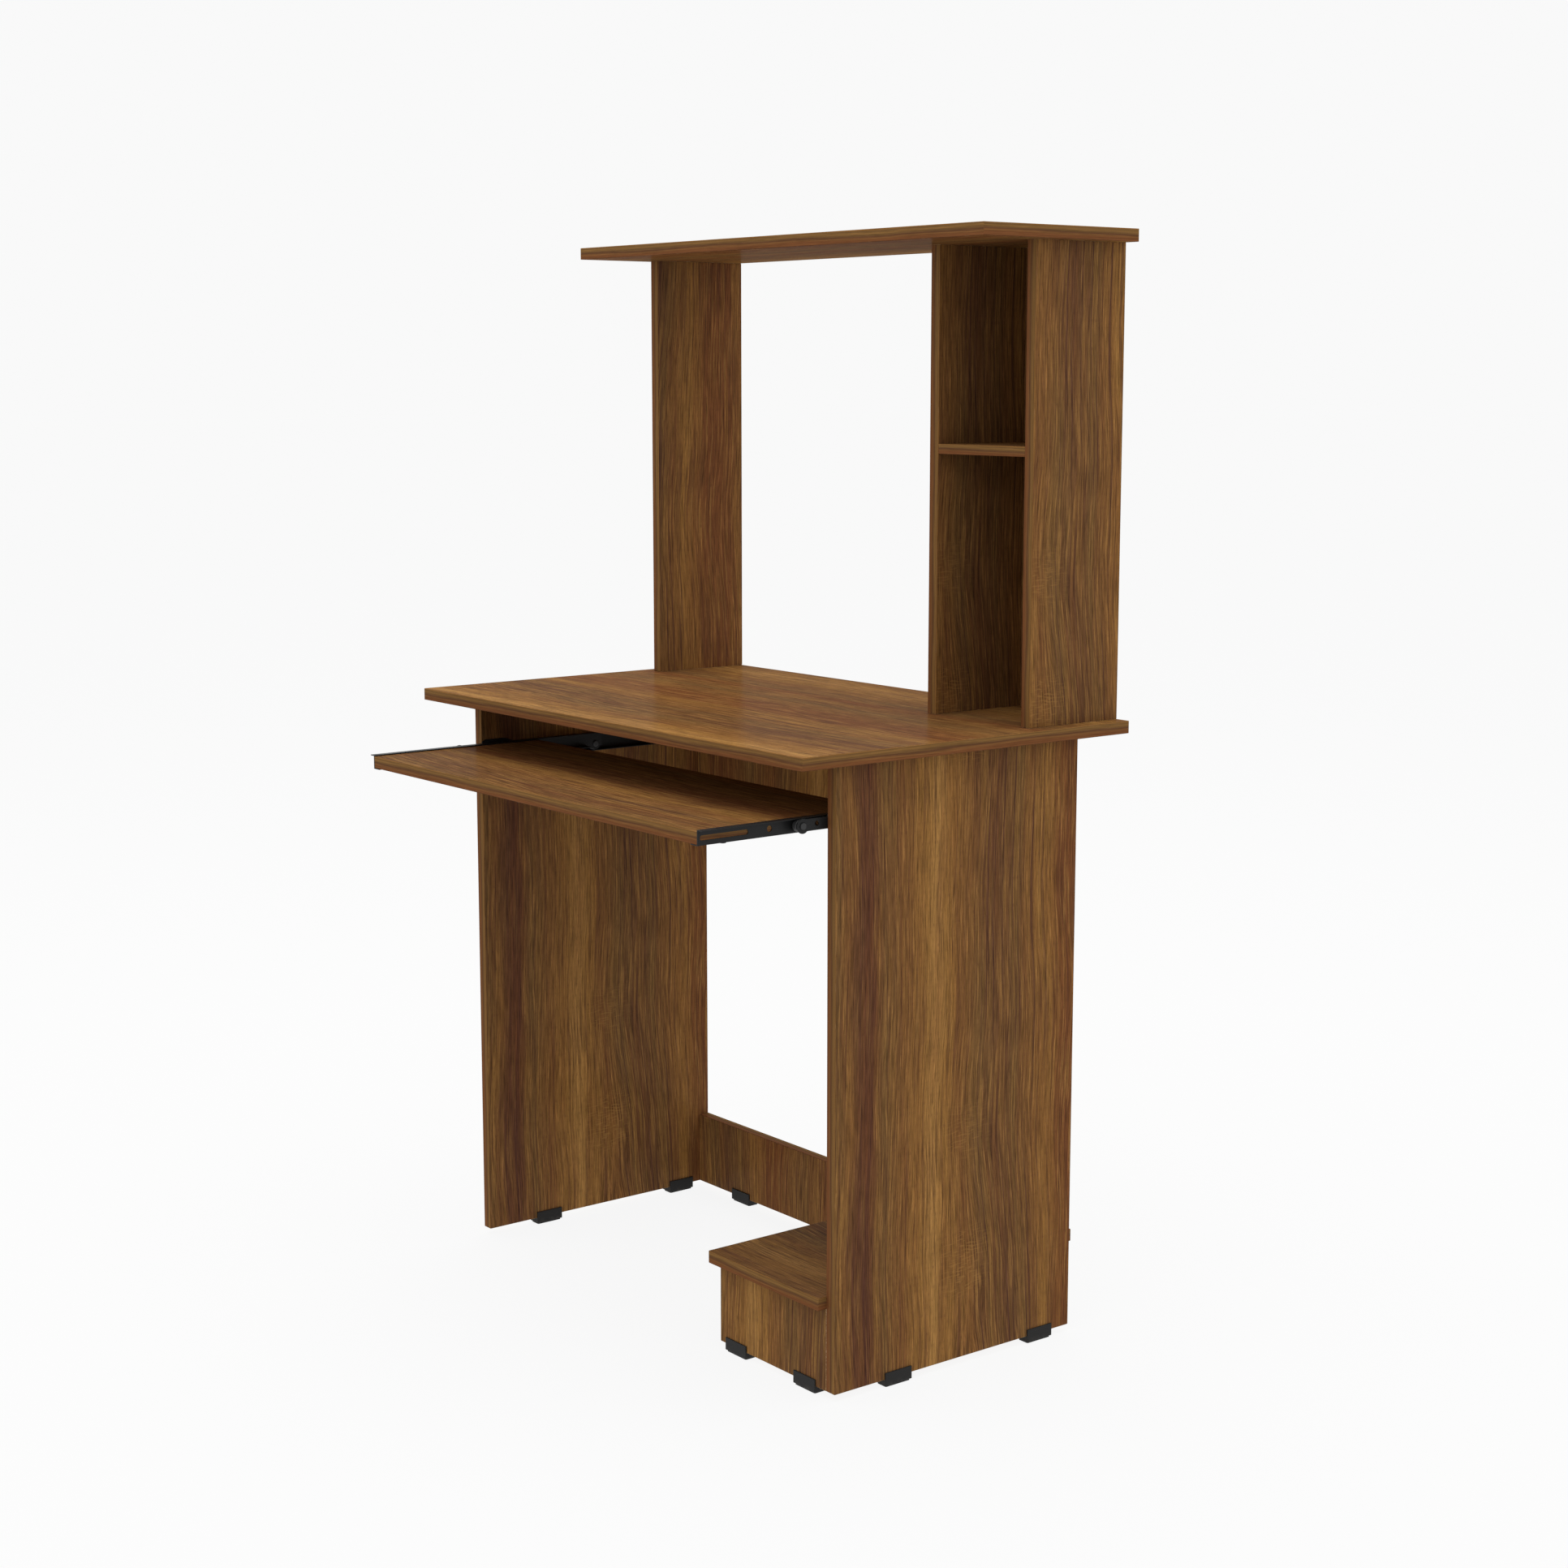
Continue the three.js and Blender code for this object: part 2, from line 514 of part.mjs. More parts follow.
for (const [name, [low, high]] of Object.entries(boards)) {
  add(name, geometryOf(cut(solid(block(low, high)), drillings.get(name) ?? [])), oak);
}

for (const [label, side] of Object.entries(SIDES)) {
  for (const [kind, make] of Object.entries({ cabinet_rail: cabinetRail, tray_rail: trayRail })) {
    const name = `${label}_${kind}`;
    const [body, holes] = make(side);
    add(name, geometryOf(cut(body, [...holes, ...(drillings.get(name) ?? [])])), blackSteel);
  }
}

export default desk;
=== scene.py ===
# %% [markdown]
# # A computer desk with a keyboard tray
# The desk is flat-pack furniture: boards of chipboard faced with printed melamine, thin tape ironed
# onto the edges that show, and a tray that runs on a pair of black roller slides. The sizes, the
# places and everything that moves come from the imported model. This file gives each piece the
# surface that the real one has.

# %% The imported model
import json
import math

import bpy
import numpy as np
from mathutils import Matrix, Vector
from mathutils.geometry import tessellate_polygon


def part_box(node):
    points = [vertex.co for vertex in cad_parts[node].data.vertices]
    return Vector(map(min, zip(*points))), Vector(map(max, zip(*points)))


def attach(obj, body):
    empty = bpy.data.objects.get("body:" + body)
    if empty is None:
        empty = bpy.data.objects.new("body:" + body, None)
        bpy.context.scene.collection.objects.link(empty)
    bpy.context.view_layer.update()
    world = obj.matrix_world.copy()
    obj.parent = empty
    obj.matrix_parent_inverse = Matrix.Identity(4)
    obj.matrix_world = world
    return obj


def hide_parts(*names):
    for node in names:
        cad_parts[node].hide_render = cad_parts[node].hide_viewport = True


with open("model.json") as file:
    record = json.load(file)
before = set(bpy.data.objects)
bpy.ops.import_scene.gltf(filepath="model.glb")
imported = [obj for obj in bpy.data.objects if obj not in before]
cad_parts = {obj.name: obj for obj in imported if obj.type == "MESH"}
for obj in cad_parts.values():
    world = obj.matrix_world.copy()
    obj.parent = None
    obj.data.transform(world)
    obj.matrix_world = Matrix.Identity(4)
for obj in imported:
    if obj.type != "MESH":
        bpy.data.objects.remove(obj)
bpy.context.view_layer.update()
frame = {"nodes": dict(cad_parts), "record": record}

record = frame["record"]

# %% [markdown]
# Each piece made here takes the place of one node of the model: it moves with that node's body,
# and the node itself is hidden. The body is looked up by the node's name, so it is not written
# twice, and the table of slots gives the nodes' names.

# %% Bodies and slots
MM = 0.001
BODY_OF = {node: body for body, nodes in record["behaviour"]["bodies"].items() for node in nodes}
SLOT_OF = {part["node"]: part["material_slot"] for part in record["subparts"]}


def stand_for(piece, node):
    """Give a piece a node's place: it joins the node's body, and the node is hidden."""
    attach(piece, BODY_OF[node])
    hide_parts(node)


def corners_of(node):
    """A node's lowest and highest corners, in metres, as two arrays."""
    low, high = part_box(node)
    return np.array(low), np.array(high)


AXIS = {"x": 0, "y": 1, "z": 2}


def other_axes(along):
    """The two axes after this one, in turn: Y and Z after X, Z and X after Y, X and Y after Z."""
    return [(along + 1) % 3, (along + 2) % 3]


def named(ending):
    """Every node whose name ends in these letters."""
    return [node for node in SLOT_OF if node.endswith(ending)]


print({slot: list(SLOT_OF.values()).count(slot) for slot in sorted(set(SLOT_OF.values()))})

# %% [markdown]
# A finish is a network of shader nodes, and most of it is arithmetic. A small class that wraps a
# socket lets that arithmetic be written as Python expressions, which read better than a list of
# nodes and links. Everything else is one method: a node's type, its settings, and its inputs.


# %% Shader sockets as values
class Wire:
    """An output socket that takes part in sums: each operator adds one Math node."""

    def __init__(self, paint, socket):
        self.paint = paint
        self.socket = socket

    def math(self, operation, *values):
        """One Math node on these values."""
        return self.paint.node("ShaderNodeMath", {"operation": operation}, dict(enumerate(values)))

    def __add__(self, other):
        return self.math("ADD", self, other)

    def __radd__(self, other):
        return self.math("ADD", other, self)

    def __sub__(self, other):
        return self.math("SUBTRACT", self, other)

    def __rsub__(self, other):
        return self.math("SUBTRACT", other, self)

    def __mul__(self, other):
        return self.math("MULTIPLY", self, other)

    def __rmul__(self, other):
        return self.math("MULTIPLY", other, self)

    def __truediv__(self, other):
        return self.math("DIVIDE", self, other)


class Paint:
    """One material, whose nodes are added one at a time."""

    def __init__(self, name):
        self.material = bpy.data.materials.new(name)
        self.material.use_nodes = True
        self.tree = self.material.node_tree
        self.shader = self.tree.nodes["Principled BSDF"]

    def node(self, kind, settings, inputs, output=0):
        """Add a node with its settings and its inputs, and return one of its outputs."""
        node = self.tree.nodes.new(kind)
        for name, value in settings.items():
            if name == "stops":
                self.set_stops(node.color_ramp, value)
            else:
                setattr(node, name, value)
        self.fill(node, inputs)
        return Wire(self, node.outputs[output])

    def set_stops(self, ramp, stops):
        """Stops are pairs of a place from 0 to 1 and a colour."""
        ramp.interpolation = "EASE"
        for _ in stops[2:]:
            ramp.elements.new(1.0)
        for element, (place, colour) in zip(ramp.elements, stops):
            element.position = place
            element.color = (*colour, 1.0)

    def fill(self, node, inputs):
        """Link the inputs that are wires and set the ones that are plain values."""
        for name, value in inputs.items():
            if isinstance(value, Wire):
                self.tree.links.new(value.socket, node.inputs[name])
            else:
                node.inputs[name].default_value = value

    def finish(self, **inputs):
        """Feed the shader's own sockets, named with underscores for spaces."""
        self.fill(self.shader, {name.replace("_", " "): value for name, value in inputs.items()})
        return self.material


# %% [markdown]
# A few small tools serve every finish: a smooth step between two values, a mix of two colours, a
# colour made lighter or darker, noise at one size or stretched to a width and a length, and a bump.
# Wood fibres, scuffed steel and moulded plastic are all that same noise at different sizes.


# %% Shader tools
def rise(value, low, high):
    """0 below low, 1 above high, and a smooth step between them."""
    limits = {"From Min": low, "From Max": high, "To Min": 0.0, "To Max": 1.0}
    return value.paint.node("ShaderNodeMapRange", {"interpolation_type": "SMOOTHSTEP"},
                            {"Value": value, **limits})


def mixed(factor, first, second):
    """The first colour where the factor is 0 and the second where it is 1."""
    first, second = [(*colour, 1.0) if isinstance(colour, tuple) else colour
                     for colour in (first, second)]
    return factor.paint.node("ShaderNodeMix", {"data_type": "RGBA", "clamp_factor": True},
                             {0: factor, 6: first, 7: second}, 2)


def scaled(colour, factor):
    """A colour times a number: 1 leaves it as it is, and less darkens it."""
    return factor.paint.node("ShaderNodeVectorMath", {"operation": "SCALE"},
                             {0: colour, "Scale": factor})


def streaks(across, along, width, length, detail=2.0, shift=0.0):
    """Noise from 0 to 1, divided by a width one way and a length the other, so it stretches."""
    place = across.paint.node("ShaderNodeCombineXYZ", {},
                              {"X": across / width + shift, "Y": along / length + shift})
    return across.paint.node("ShaderNodeTexNoise", {"noise_dimensions": "2D"},
                             {"Vector": place, "Scale": 1.0, "Detail": detail})


def speckle(place, scale, detail):
    """Noise from 0 to 1 that is alike every way, with this many cells to the metre."""
    return place.paint.node("ShaderNodeTexNoise", {},
                            {"Vector": place, "Scale": scale, "Detail": detail})


def bumped(height, strength, depth):
    """A normal that leans as a surface would whose height varies by this depth, in metres."""
    return height.paint.node("ShaderNodeBump", {},
                             {"Height": height, "Strength": strength, "Distance": depth})


# %% [markdown]
# The boards' faces carry a printed oak figure under clear resin. The print has broad bands across
# its width, which set a board's look from afar, and then ring lines, fine fibres, dark pores and
# pale flecks. A picture of oak could be wrapped round the boards, but it would blur from near to,
# so the print is worked out instead from two numbers: how far a point lies across the grain and
# how far along it. A map named grain on each board gives both, in metres. Eight colours serve all
# of it, and each band has the share of the print's width at which it is strongest.

# %% The print's broad bands
PRINT_WIDTH = 0.44
OLIVE = (0.136, 0.070, 0.0250)
GOLD = (0.218, 0.105, 0.0290)
STRAW = (0.288, 0.148, 0.0440)
TAWNY = (0.166, 0.076, 0.0245)
RUSSET = (0.142, 0.054, 0.0195)
BARK = (0.108, 0.050, 0.0215)
UMBER = (0.078, 0.031, 0.0165)
PLUM = (0.062, 0.025, 0.0180)
BANDS = [
    (0.00, OLIVE), (0.05, TAWNY), (0.10, RUSSET), (0.16, OLIVE), (0.22, TAWNY), (0.28, GOLD),
    (0.33, STRAW), (0.38, GOLD), (0.43, TAWNY), (0.49, OLIVE), (0.56, BARK), (0.62, OLIVE),
    (0.67, TAWNY), (0.72, GOLD), (0.80, RUSSET), (0.87, RUSSET), (0.94, TAWNY), (1.00, OLIVE),
]
print("bands", len(BANDS), "over", PRINT_WIDTH, "m")

# %% [markdown]
# The print itself is drawn in the order in which an engraver would build it up: broad bands, then
# streaks from wide to narrow, a dark heart streak with fine lines of its own, the ring lines, the
# fibres, which darken or lighten whatever lies under them, and last the pores and flecks. Most of
# these are noise that is far longer than it is wide, so they run with the grain, and only the
# flecks lie across it, as an oak's rays do. The resin's shine is a thin coat, because a board of
# this kind is almost matt.

# %% Oak-figured melamine
ARCH_APEX = 0.50  # these are in metres, apart from the bow, which is per metre
ARCH_BOW = 0.11
SWAY = 0.024
WOBBLE = 0.0034
HEART_PLACE = 0.040
HEART_SWAY = 0.026
HEART_NARROWEST = 0.006
HEART_SPREAD = 0.028
STREAKS = [  # width, length, shift, the noise where a streak starts and is full, depth, tint
    (0.0150, 0.360, 1.7, 0.44, 0.66, 0.34, RUSSET),
    (0.0085, 0.240, 5.9, 0.48, 0.68, 0.34, GOLD),
    (0.0042, 0.170, 8.2, 0.50, 0.66, 0.46, UMBER),
    (0.0026, 0.110, 2.6, 0.52, 0.68, 0.46, STRAW),
]


def grain_map(paint):
    """The distances across and along the grain, from the map that each board carries."""
    place = paint.node("ShaderNodeUVMap", {"uv_map": "grain"}, {})
    return [paint.node("ShaderNodeSeparateXYZ", {}, {0: place}, i) for i in range(2)]


def between(value, rise_from, rise_to, fall_from, fall_to):
    """1 inside a zone and 0 outside it, with a smooth step at each side."""
    return rise(value, rise_from, rise_to) * (1.0 - rise(value, fall_from, fall_to))


def drift(along, length, shift):
    """Noise that changes only along the grain, from 0 to 1."""
    place = along.paint.node("ShaderNodeCombineXYZ", {}, {"X": along / length + shift})
    return along.paint.node("ShaderNodeTexNoise", {"noise_dimensions": "2D"},
                            {"Vector": place, "Scale": 1.0, "Detail": 1.0})


def melamine():
    """Bands, then streaks from wide to narrow, ring lines, fibres, pores and flecks.

    The rings bow: their distance across the grain grows with the square of the distance along
    it from the arches' apex, within one part of the print's width, which nests them.
    """
    paint = Paint("oak_melamine")
    across, along = grain_map(paint)
    sway = streaks(across, along, 0.25, 0.34, 1.0) - 0.5
    wobble = streaks(across, along, 0.018, 0.100, 2.0, 3.1) - 0.5
    share = (across / PRINT_WIDTH).math("FRACT", across / PRINT_WIDTH)
    arch_zone = between(share, 0.40, 0.54, 0.64, 0.82)
    from_apex = along - ARCH_APEX
    bow = ARCH_BOW * from_apex * from_apex * arch_zone
    ring = across + SWAY * sway + WOBBLE * wobble - bow

    phase = ring.math("FRACT", ring / PRINT_WIDTH)
    colour = paint.node("ShaderNodeValToRGB", {"stops": BANDS}, {"Fac": phase})
    for width, length, shift, start, full, depth, tint in STREAKS:
        mask = rise(streaks(ring, along, width, length, 2.0, shift), start, full)
        colour = mixed(depth * mask, colour, tint)

    heart = ring - HEART_PLACE - HEART_SWAY * (drift(along, 0.24, 6.6) - 0.5)
    heart_side = heart.math("ABSOLUTE", heart)
    heart_width = HEART_NARROWEST + HEART_SPREAD * drift(along, 0.15, 2.3)
    heart_streak = 1.0 - rise(heart_side / heart_width, 0.30, 1.15)
    heart_grain = streaks(ring, along, 0.0030, 0.13, 2.0, 5.2)
    colour = mixed(heart_streak * (0.20 + 0.66 * heart_grain), colour, PLUM)

    line = rise(streaks(ring, along, 0.0030, 0.46, 1.0, 9.4), 0.60, 0.70)
    lines = line * (0.14 + 0.56 * arch_zone + 0.50 * heart_streak)
    colour = mixed(lines, colour, PLUM)

    strand = streaks(ring, along, 0.0017, 0.060, 1.0, 2.2) - 0.5
    fibre = streaks(ring, along, 0.00085, 0.030, 2.0, 7.7) - 0.5
    hair = streaks(ring, along, 0.00042, 0.016, 1.0, 4.1) - 0.5
    colour = scaled(colour, 0.98 + 0.90 * strand + 1.35 * fibre + 0.70 * hair)

    pore = rise(streaks(ring, along, 0.00048, 0.0080, 0.0, 4.4), 0.68, 0.78)
    fleck_place = between(share, 0.33, 0.42, 0.46, 0.56) * rise(drift(along, 0.16, 4.6), 0.50, 0.64)
    fleck = rise(streaks(across, along, 0.0140, 0.0022, 1.0, 8.8), 0.54, 0.70) * fleck_place
    colour = mixed(0.45 * pore, colour, UMBER)
    colour = mixed(0.42 * fleck, colour, STRAW)
    height = fibre + 0.6 * strand + 0.5 * hair - 0.9 * pore - 0.5 * lines
    return paint.finish(
        Base_Color=colour,
        Roughness=0.46 + 0.16 * fibre + 0.10 * pore,
        Normal=bumped(height, 0.28, 0.00012),
        Specular_IOR_Level=0.0,
        Coat_Weight=0.05,
        Coat_Roughness=0.22,
    )


OAK = melamine()
print("made", OAK.name, "from", len(OAK.node_tree.nodes), "nodes")

# %% [markdown]
# The edges carry melamine tape 0.4 mm thick, with a print of its own that runs along the edge. Its
# glue shows as a dark hairline at the lower arris, a thin line of gold along the upper one is a
# painted highlight where the rounded arris would catch the light, and hands wear both arrises pale.
# The grain map's first number runs from 0 to 15 mm over every edge, whatever the board's thickness,
# so that both lines fall on the arrises.

# %% Edge tape
TAPE_SPAN = 0.015
GLUE = (0.060, 0.026, 0.0140)
WORN = (0.30, 0.19, 0.10)
# The gold stop at 0.95 is a painted highlight along the upper arris, where the rounded edge would
# catch the light; the glue stop at 0 is the real dark glue line.
TAPE = [
    (0.00, GLUE), (0.045, RUSSET), (0.22, RUSSET), (0.36, (0.160, 0.070, 0.0240)),
    (0.50, (0.098, 0.043, 0.0190)), (0.60, (0.128, 0.064, 0.0235)), (0.78, (0.186, 0.096, 0.0300)),
    (0.90, OLIVE), (0.95, GOLD), (1.00, (0.150, 0.070, 0.0240)),
]


def edge_tape():
    """The tape's bands, with a painted highlight near the upper arris, bent by slow noise and crossed
    by fibres, and worn at both arrises.
    """
    paint = Paint("oak_edge_tape")
    across, along = grain_map(paint)
    sway = 0.006 * (streaks(across, along, 0.02, 0.16, 1.0) - 0.5)
    centred = (across - 0.5 * TAPE_SPAN) / (0.5 * TAPE_SPAN)
    towards_arris = centred * centred
    bent = (across + sway * (1.0 - towards_arris)) / TAPE_SPAN
    colour = paint.node("ShaderNodeValToRGB", {"stops": TAPE}, {"Fac": bent})
    strand = streaks(across, along, 0.0011, 0.11, 2.0, 2.9) - 0.5
    fibre = streaks(across, along, 0.00045, 0.020, 2.0, 6.1) - 0.5
    colour = scaled(colour, 1.0 + 0.80 * strand + 0.70 * fibre)
    arris = rise(towards_arris, 0.84, 0.97)
    wear = arris * rise(streaks(across, along, 0.004, 0.018, 3.0, 4.7), 0.60, 0.72)
    colour = mixed(0.40 * wear, colour, WORN)
    return paint.finish(
        Base_Color=colour,
        Roughness=0.46 + 0.15 * fibre + 0.12 * wear,
        Normal=bumped(fibre + 0.8 * strand, 0.30, 0.00010),
        Specular_IOR_Level=0.0,
        Coat_Weight=0.05,
        Coat_Roughness=0.25,
    )


TAPED = edge_tape()
print("made", TAPED.name, "from", len(TAPED.node_tree.nodes), "nodes")

# %% [markdown]
# Edges that never show are left bare, and so are the recesses: there the chipboard's pressed chips
# are seen end-on. The thin panel behind the hutch's bay is hardboard, printed in front and plain
# brown fibre behind. Both patterns use the object's own coordinates, which are metres from the
# model's origin, since neither has a grain to follow.


# %% Bare chipboard and hardboard
CHIPS = 420.0  # to the metre


def object_place(paint):
    """A point's own coordinates, in metres."""
    return paint.node("ShaderNodeTexCoord", {}, {}, "Object")


def chipboard():
    """Each chip is one cell of a Voronoi pattern with a colour of its own, under fine dust, with
    painted shade in the crevices.
    """
    paint = Paint("bare_chipboard")
    place = object_place(paint)
    cell = paint.node("ShaderNodeTexVoronoi", {}, {"Vector": place, "Scale": CHIPS}, "Color")
    tone = paint.node("ShaderNodeSeparateColor", {}, {0: cell})
    dust = speckle(place, 1600.0, 3.0)
    rim = paint.node("ShaderNodeTexVoronoi", {"feature": "DISTANCE_TO_EDGE"},
                     {"Vector": place, "Scale": CHIPS})
    # The crevices between chips are darkened with painted shade; the bump below also sinks them.
    shaded_crevice = 1.0 - rise(rim, 0.0, 0.12)
    colour = mixed(tone, (0.42, 0.27, 0.14), (0.66, 0.47, 0.27))
    colour = mixed(0.55 * shaded_crevice, colour, (0.16, 0.09, 0.045))
    colour = scaled(colour, 0.8 + 0.4 * dust)
    return paint.finish(
        Base_Color=colour,
        Roughness=0.88 + 0.10 * shaded_crevice,
        Normal=bumped(tone + dust - 1.5 * shaded_crevice, 0.60, 0.0005),
        Specular_IOR_Level=0.2,
    )


def hardboard():
    """Felted brown fibre: fine noise over broad, with hardly any shine."""
    paint = Paint("bare_hardboard")
    place = object_place(paint)
    felt = speckle(place, 900.0, 5.0)
    cloud = speckle(place, 14.0, 3.0)
    colour = mixed(felt, (0.115, 0.062, 0.030), (0.235, 0.140, 0.074))
    return paint.finish(
        Base_Color=scaled(colour, 0.8 + 0.4 * cloud),
        Roughness=0.72 + 0.2 * felt,
        Normal=bumped(felt, 0.50, 0.0003),
        Specular_IOR_Level=0.2,
    )


BARE = chipboard()
FIBRE = hardboard()
print("made", BARE.name, "and", FIBRE.name)

# %% [markdown]
# The slides are rolled steel under black epoxy powder, which dries with a faint orange-peel. The
# steel is nearly black all over, so its roughness and its bump do the telling, and thin pale scuffs
# lie along the run of the slide, where the rollers and the tray have rubbed it.


# %% Black steel
def black_epoxy():
    """Nearly black, with orange-peel bumps and thin scuffs along the run of the slide."""
    paint = Paint("black_epoxy_steel")
    place = object_place(paint)
    x, y, z = [paint.node("ShaderNodeSeparateXYZ", {}, {0: place}, i) for i in range(3)]
    peel = speckle(place, 1300.0, 1.0)
    grime = speckle(place, 45.0, 4.0)
    scuff = rise(streaks(z + 0.7 * x, y, 0.00035, 0.030, 2.0), 0.66, 0.76)
    colour = mixed(0.25 * scuff, (0.0062, 0.0062, 0.0064), (0.060, 0.060, 0.062))
    return paint.finish(
        Base_Color=colour,
        Roughness=0.30 + 0.24 * grime + 0.10 * scuff,
        Normal=bumped(peel, 0.22, 0.00012),
        Specular_IOR_Level=0.22,
    )


EPOXY = black_epoxy()
print("made", EPOXY.name)

# %% [markdown]
# The rollers turn on plain rivets with no bearing, so they are nylon, which is hard and slippery.
# The glides only have to keep damp off the boards, so they are cheap polypropylene. Both are
# moulded and dark, and differ in how finely they are textured and in where the dust lies.


# %% Nylon and plastic
def dark_nylon():
    """A smooth moulding under a dusty bloom, with a grain almost too fine to see."""
    paint = Paint("dark_nylon")
    place = object_place(paint)
    bloom = speckle(place, 260.0, 4.0)
    fine = speckle(place, 2600.0, 2.0)
    return paint.finish(
        Base_Color=mixed(bloom, (0.016, 0.016, 0.017), (0.042, 0.041, 0.041)),
        Roughness=0.32 + 0.22 * bloom,
        Normal=bumped(fine, 0.20, 0.00005),
        Specular_IOR_Level=0.45,
    )


def moulded_plastic():
    """Black polypropylene with a spark-eroded texture and pale dust low down on the floor side."""
    paint = Paint("moulded_plastic")
    place = object_place(paint)
    z = paint.node("ShaderNodeSeparateXYZ", {}, {0: place}, 2)
    spark = speckle(place, 1900.0, 2.0)
    dust = speckle(place, 130.0, 5.0)
    dusty = (1.0 - rise(z, 0.001, 0.009)) * rise(dust, 0.40, 0.75)
    return paint.finish(
        Base_Color=mixed(0.35 * dusty, (0.0105, 0.0098, 0.0094), (0.10, 0.092, 0.082)),
        Roughness=0.50 + 0.15 * spark + 0.2 * dusty,
        Normal=bumped(spark, 0.35, 0.00012),
        Specular_IOR_Level=0.20,
    )


NYLON = dark_nylon()
PLASTIC = moulded_plastic()
print("made", NYLON.name, "and", PLASTIC.name)

# %% [markdown]
# The hidden fasteners are zinc-plated and bright. The slides' own are passivated black, to go with
# the steel that they hold, and a driver rubs some of that off.


# %% Zinc, bright and black
def zinc_plate():
    """Bright metal, clouded in its colour and its roughness, with a fine grain as its bump."""
    paint = Paint("zinc_plate")
    place = object_place(paint)
    cloud = speckle(place, 520.0, 4.0)
    fine = speckle(place, 3800.0, 2.0)
    return paint.finish(
        Base_Color=mixed(cloud, (0.40, 0.40, 0.41), (0.66, 0.66, 0.67)),
        Metallic=1.0,
        Roughness=0.22 + 0.28 * cloud,
        Normal=bumped(fine, 0.18, 0.00004),
    )


def black_zinc():
    """Zinc passivated black: a dark metal-bearing film, a little paler where a driver has rubbed."""
    paint = Paint("black_zinc")
    place = object_place(paint)
    cloud = speckle(place, 620.0, 4.0)
    rub = speckle(place, 1700.0, 3.0)
    colour = mixed(0.5 * rise(rub, 0.58, 0.74), (0.012, 0.012, 0.0125), (0.085, 0.083, 0.080))
    return paint.finish(
        Base_Color=colour,
        Roughness=0.28 + 0.25 * cloud,
        Normal=bumped(rub, 0.20, 0.00005),
        Specular_IOR_Level=0.45,
    )


ZINC = zinc_plate()
BLACK_ZINC = black_zinc()
print("made", ZINC.name, "and", BLACK_ZINC.name)

# %% [markdown]
# The dowels are beech, bare of any varnish so that glue can soak in. Beech is pale and even, with
# short dark rays.


# %% Beech
def bare_beech():
    """Pale wood with short dark rays, bare of any varnish."""
    paint = Paint("bare_beech")
    place = object_place(paint)
    ray = speckle(place, 900.0, 3.0)
    tone = speckle(place, 70.0, 2.0)
    colour = mixed(tone, (0.48, 0.31, 0.17), (0.62, 0.44, 0.26))
    return paint.finish(
        Base_Color=mixed(0.4 * rise(ray, 0.55, 0.70), colour, (0.28, 0.15, 0.075)),
        Roughness=0.62 + 0.2 * ray,
        Normal=bumped(ray, 0.30, 0.00010),
        Specular_IOR_Level=0.3,
    )


BEECH = bare_beech()
print("made", BEECH.name)

# %% [markdown]
# Every new surface is a set of patches, each a grid of points with a normal at every point. The
# normals come from the same formula as the points, so flat faces shade dead flat and rounded
# arrises shade smooth, with no need for extra loops of faces. Patches that meet share their points,
# which closes the surface.


# %% Patches into a mesh
def grid_patch(points, normals, recessed=False):
    """Quads between each ring of points and the next, round and back to the ring's start."""
    rings, count = points.shape[:2]
    corner = np.arange(rings * count).reshape(rings, count)
    around = np.roll(corner, -1, axis=1)
    quads = np.stack([corner[:-1], around[:-1], around[1:], corner[1:]], axis=-1).reshape(-1, 4)
    return points.reshape(-1, 3), normals.reshape(-1, 3), quads, recessed


def merged(patches):
    """All patches as one set: points that coincide become one, and every face turns to its normal.

    A quad with two corners in one place is a triangle, and one with less area than that is left
    out. Returns points, a list of quads and triangles, their corners' normals, and which of them
    line a recess.
    """
    starts = np.cumsum([0] + [len(patch[0]) for patch in patches[:-1]])
    points = np.concatenate([patch[0] for patch in patches])
    normals = np.concatenate([patch[1] for patch in patches])
    quads = np.concatenate([patch[2] + start for patch, start in zip(patches, starts)])
    recessed = np.concatenate([np.full(len(patch[2]), patch[3]) for patch in patches])
    grid = np.round(points / 1e-7).astype(np.int64)
    _, first, place = np.unique(grid, axis=0, return_index=True, return_inverse=True)
    place = place.reshape(-1)
    corner = points[quads]
    facing = np.cross(corner[:, 2] - corner[:, 0], corner[:, 3] - corner[:, 1])
    wrong = np.einsum("fi,fi->f", facing, normals[quads].sum(axis=1)) < 0
    quads[wrong] = quads[wrong][:, ::-1]
    shared = place[quads]
    repeated = shared == np.roll(shared, -1, axis=1)
    whole = ~repeated.any(axis=1)
    three = repeated.sum(axis=1) == 1
    kept = np.argsort(repeated[three], axis=1, kind="stable")[:, :3]
    triangles = np.take_along_axis(shared[three], kept, axis=1)
    triangle_source = np.take_along_axis(quads[three], kept, axis=1)
    distinct = (triangles != np.roll(triangles, -1, axis=1)).all(axis=1)
    triangles, triangle_source = triangles[distinct], triangle_source[distinct]
    corner_normals = [normals[quads[whole]].reshape(-1, 3), normals[triangle_source].reshape(-1, 3)]
    flags = np.concatenate([recessed[whole], recessed[three][distinct]])
    faces = shared[whole].tolist() + triangles.tolist()
    return points[first], faces, np.concatenate(corner_normals), flags


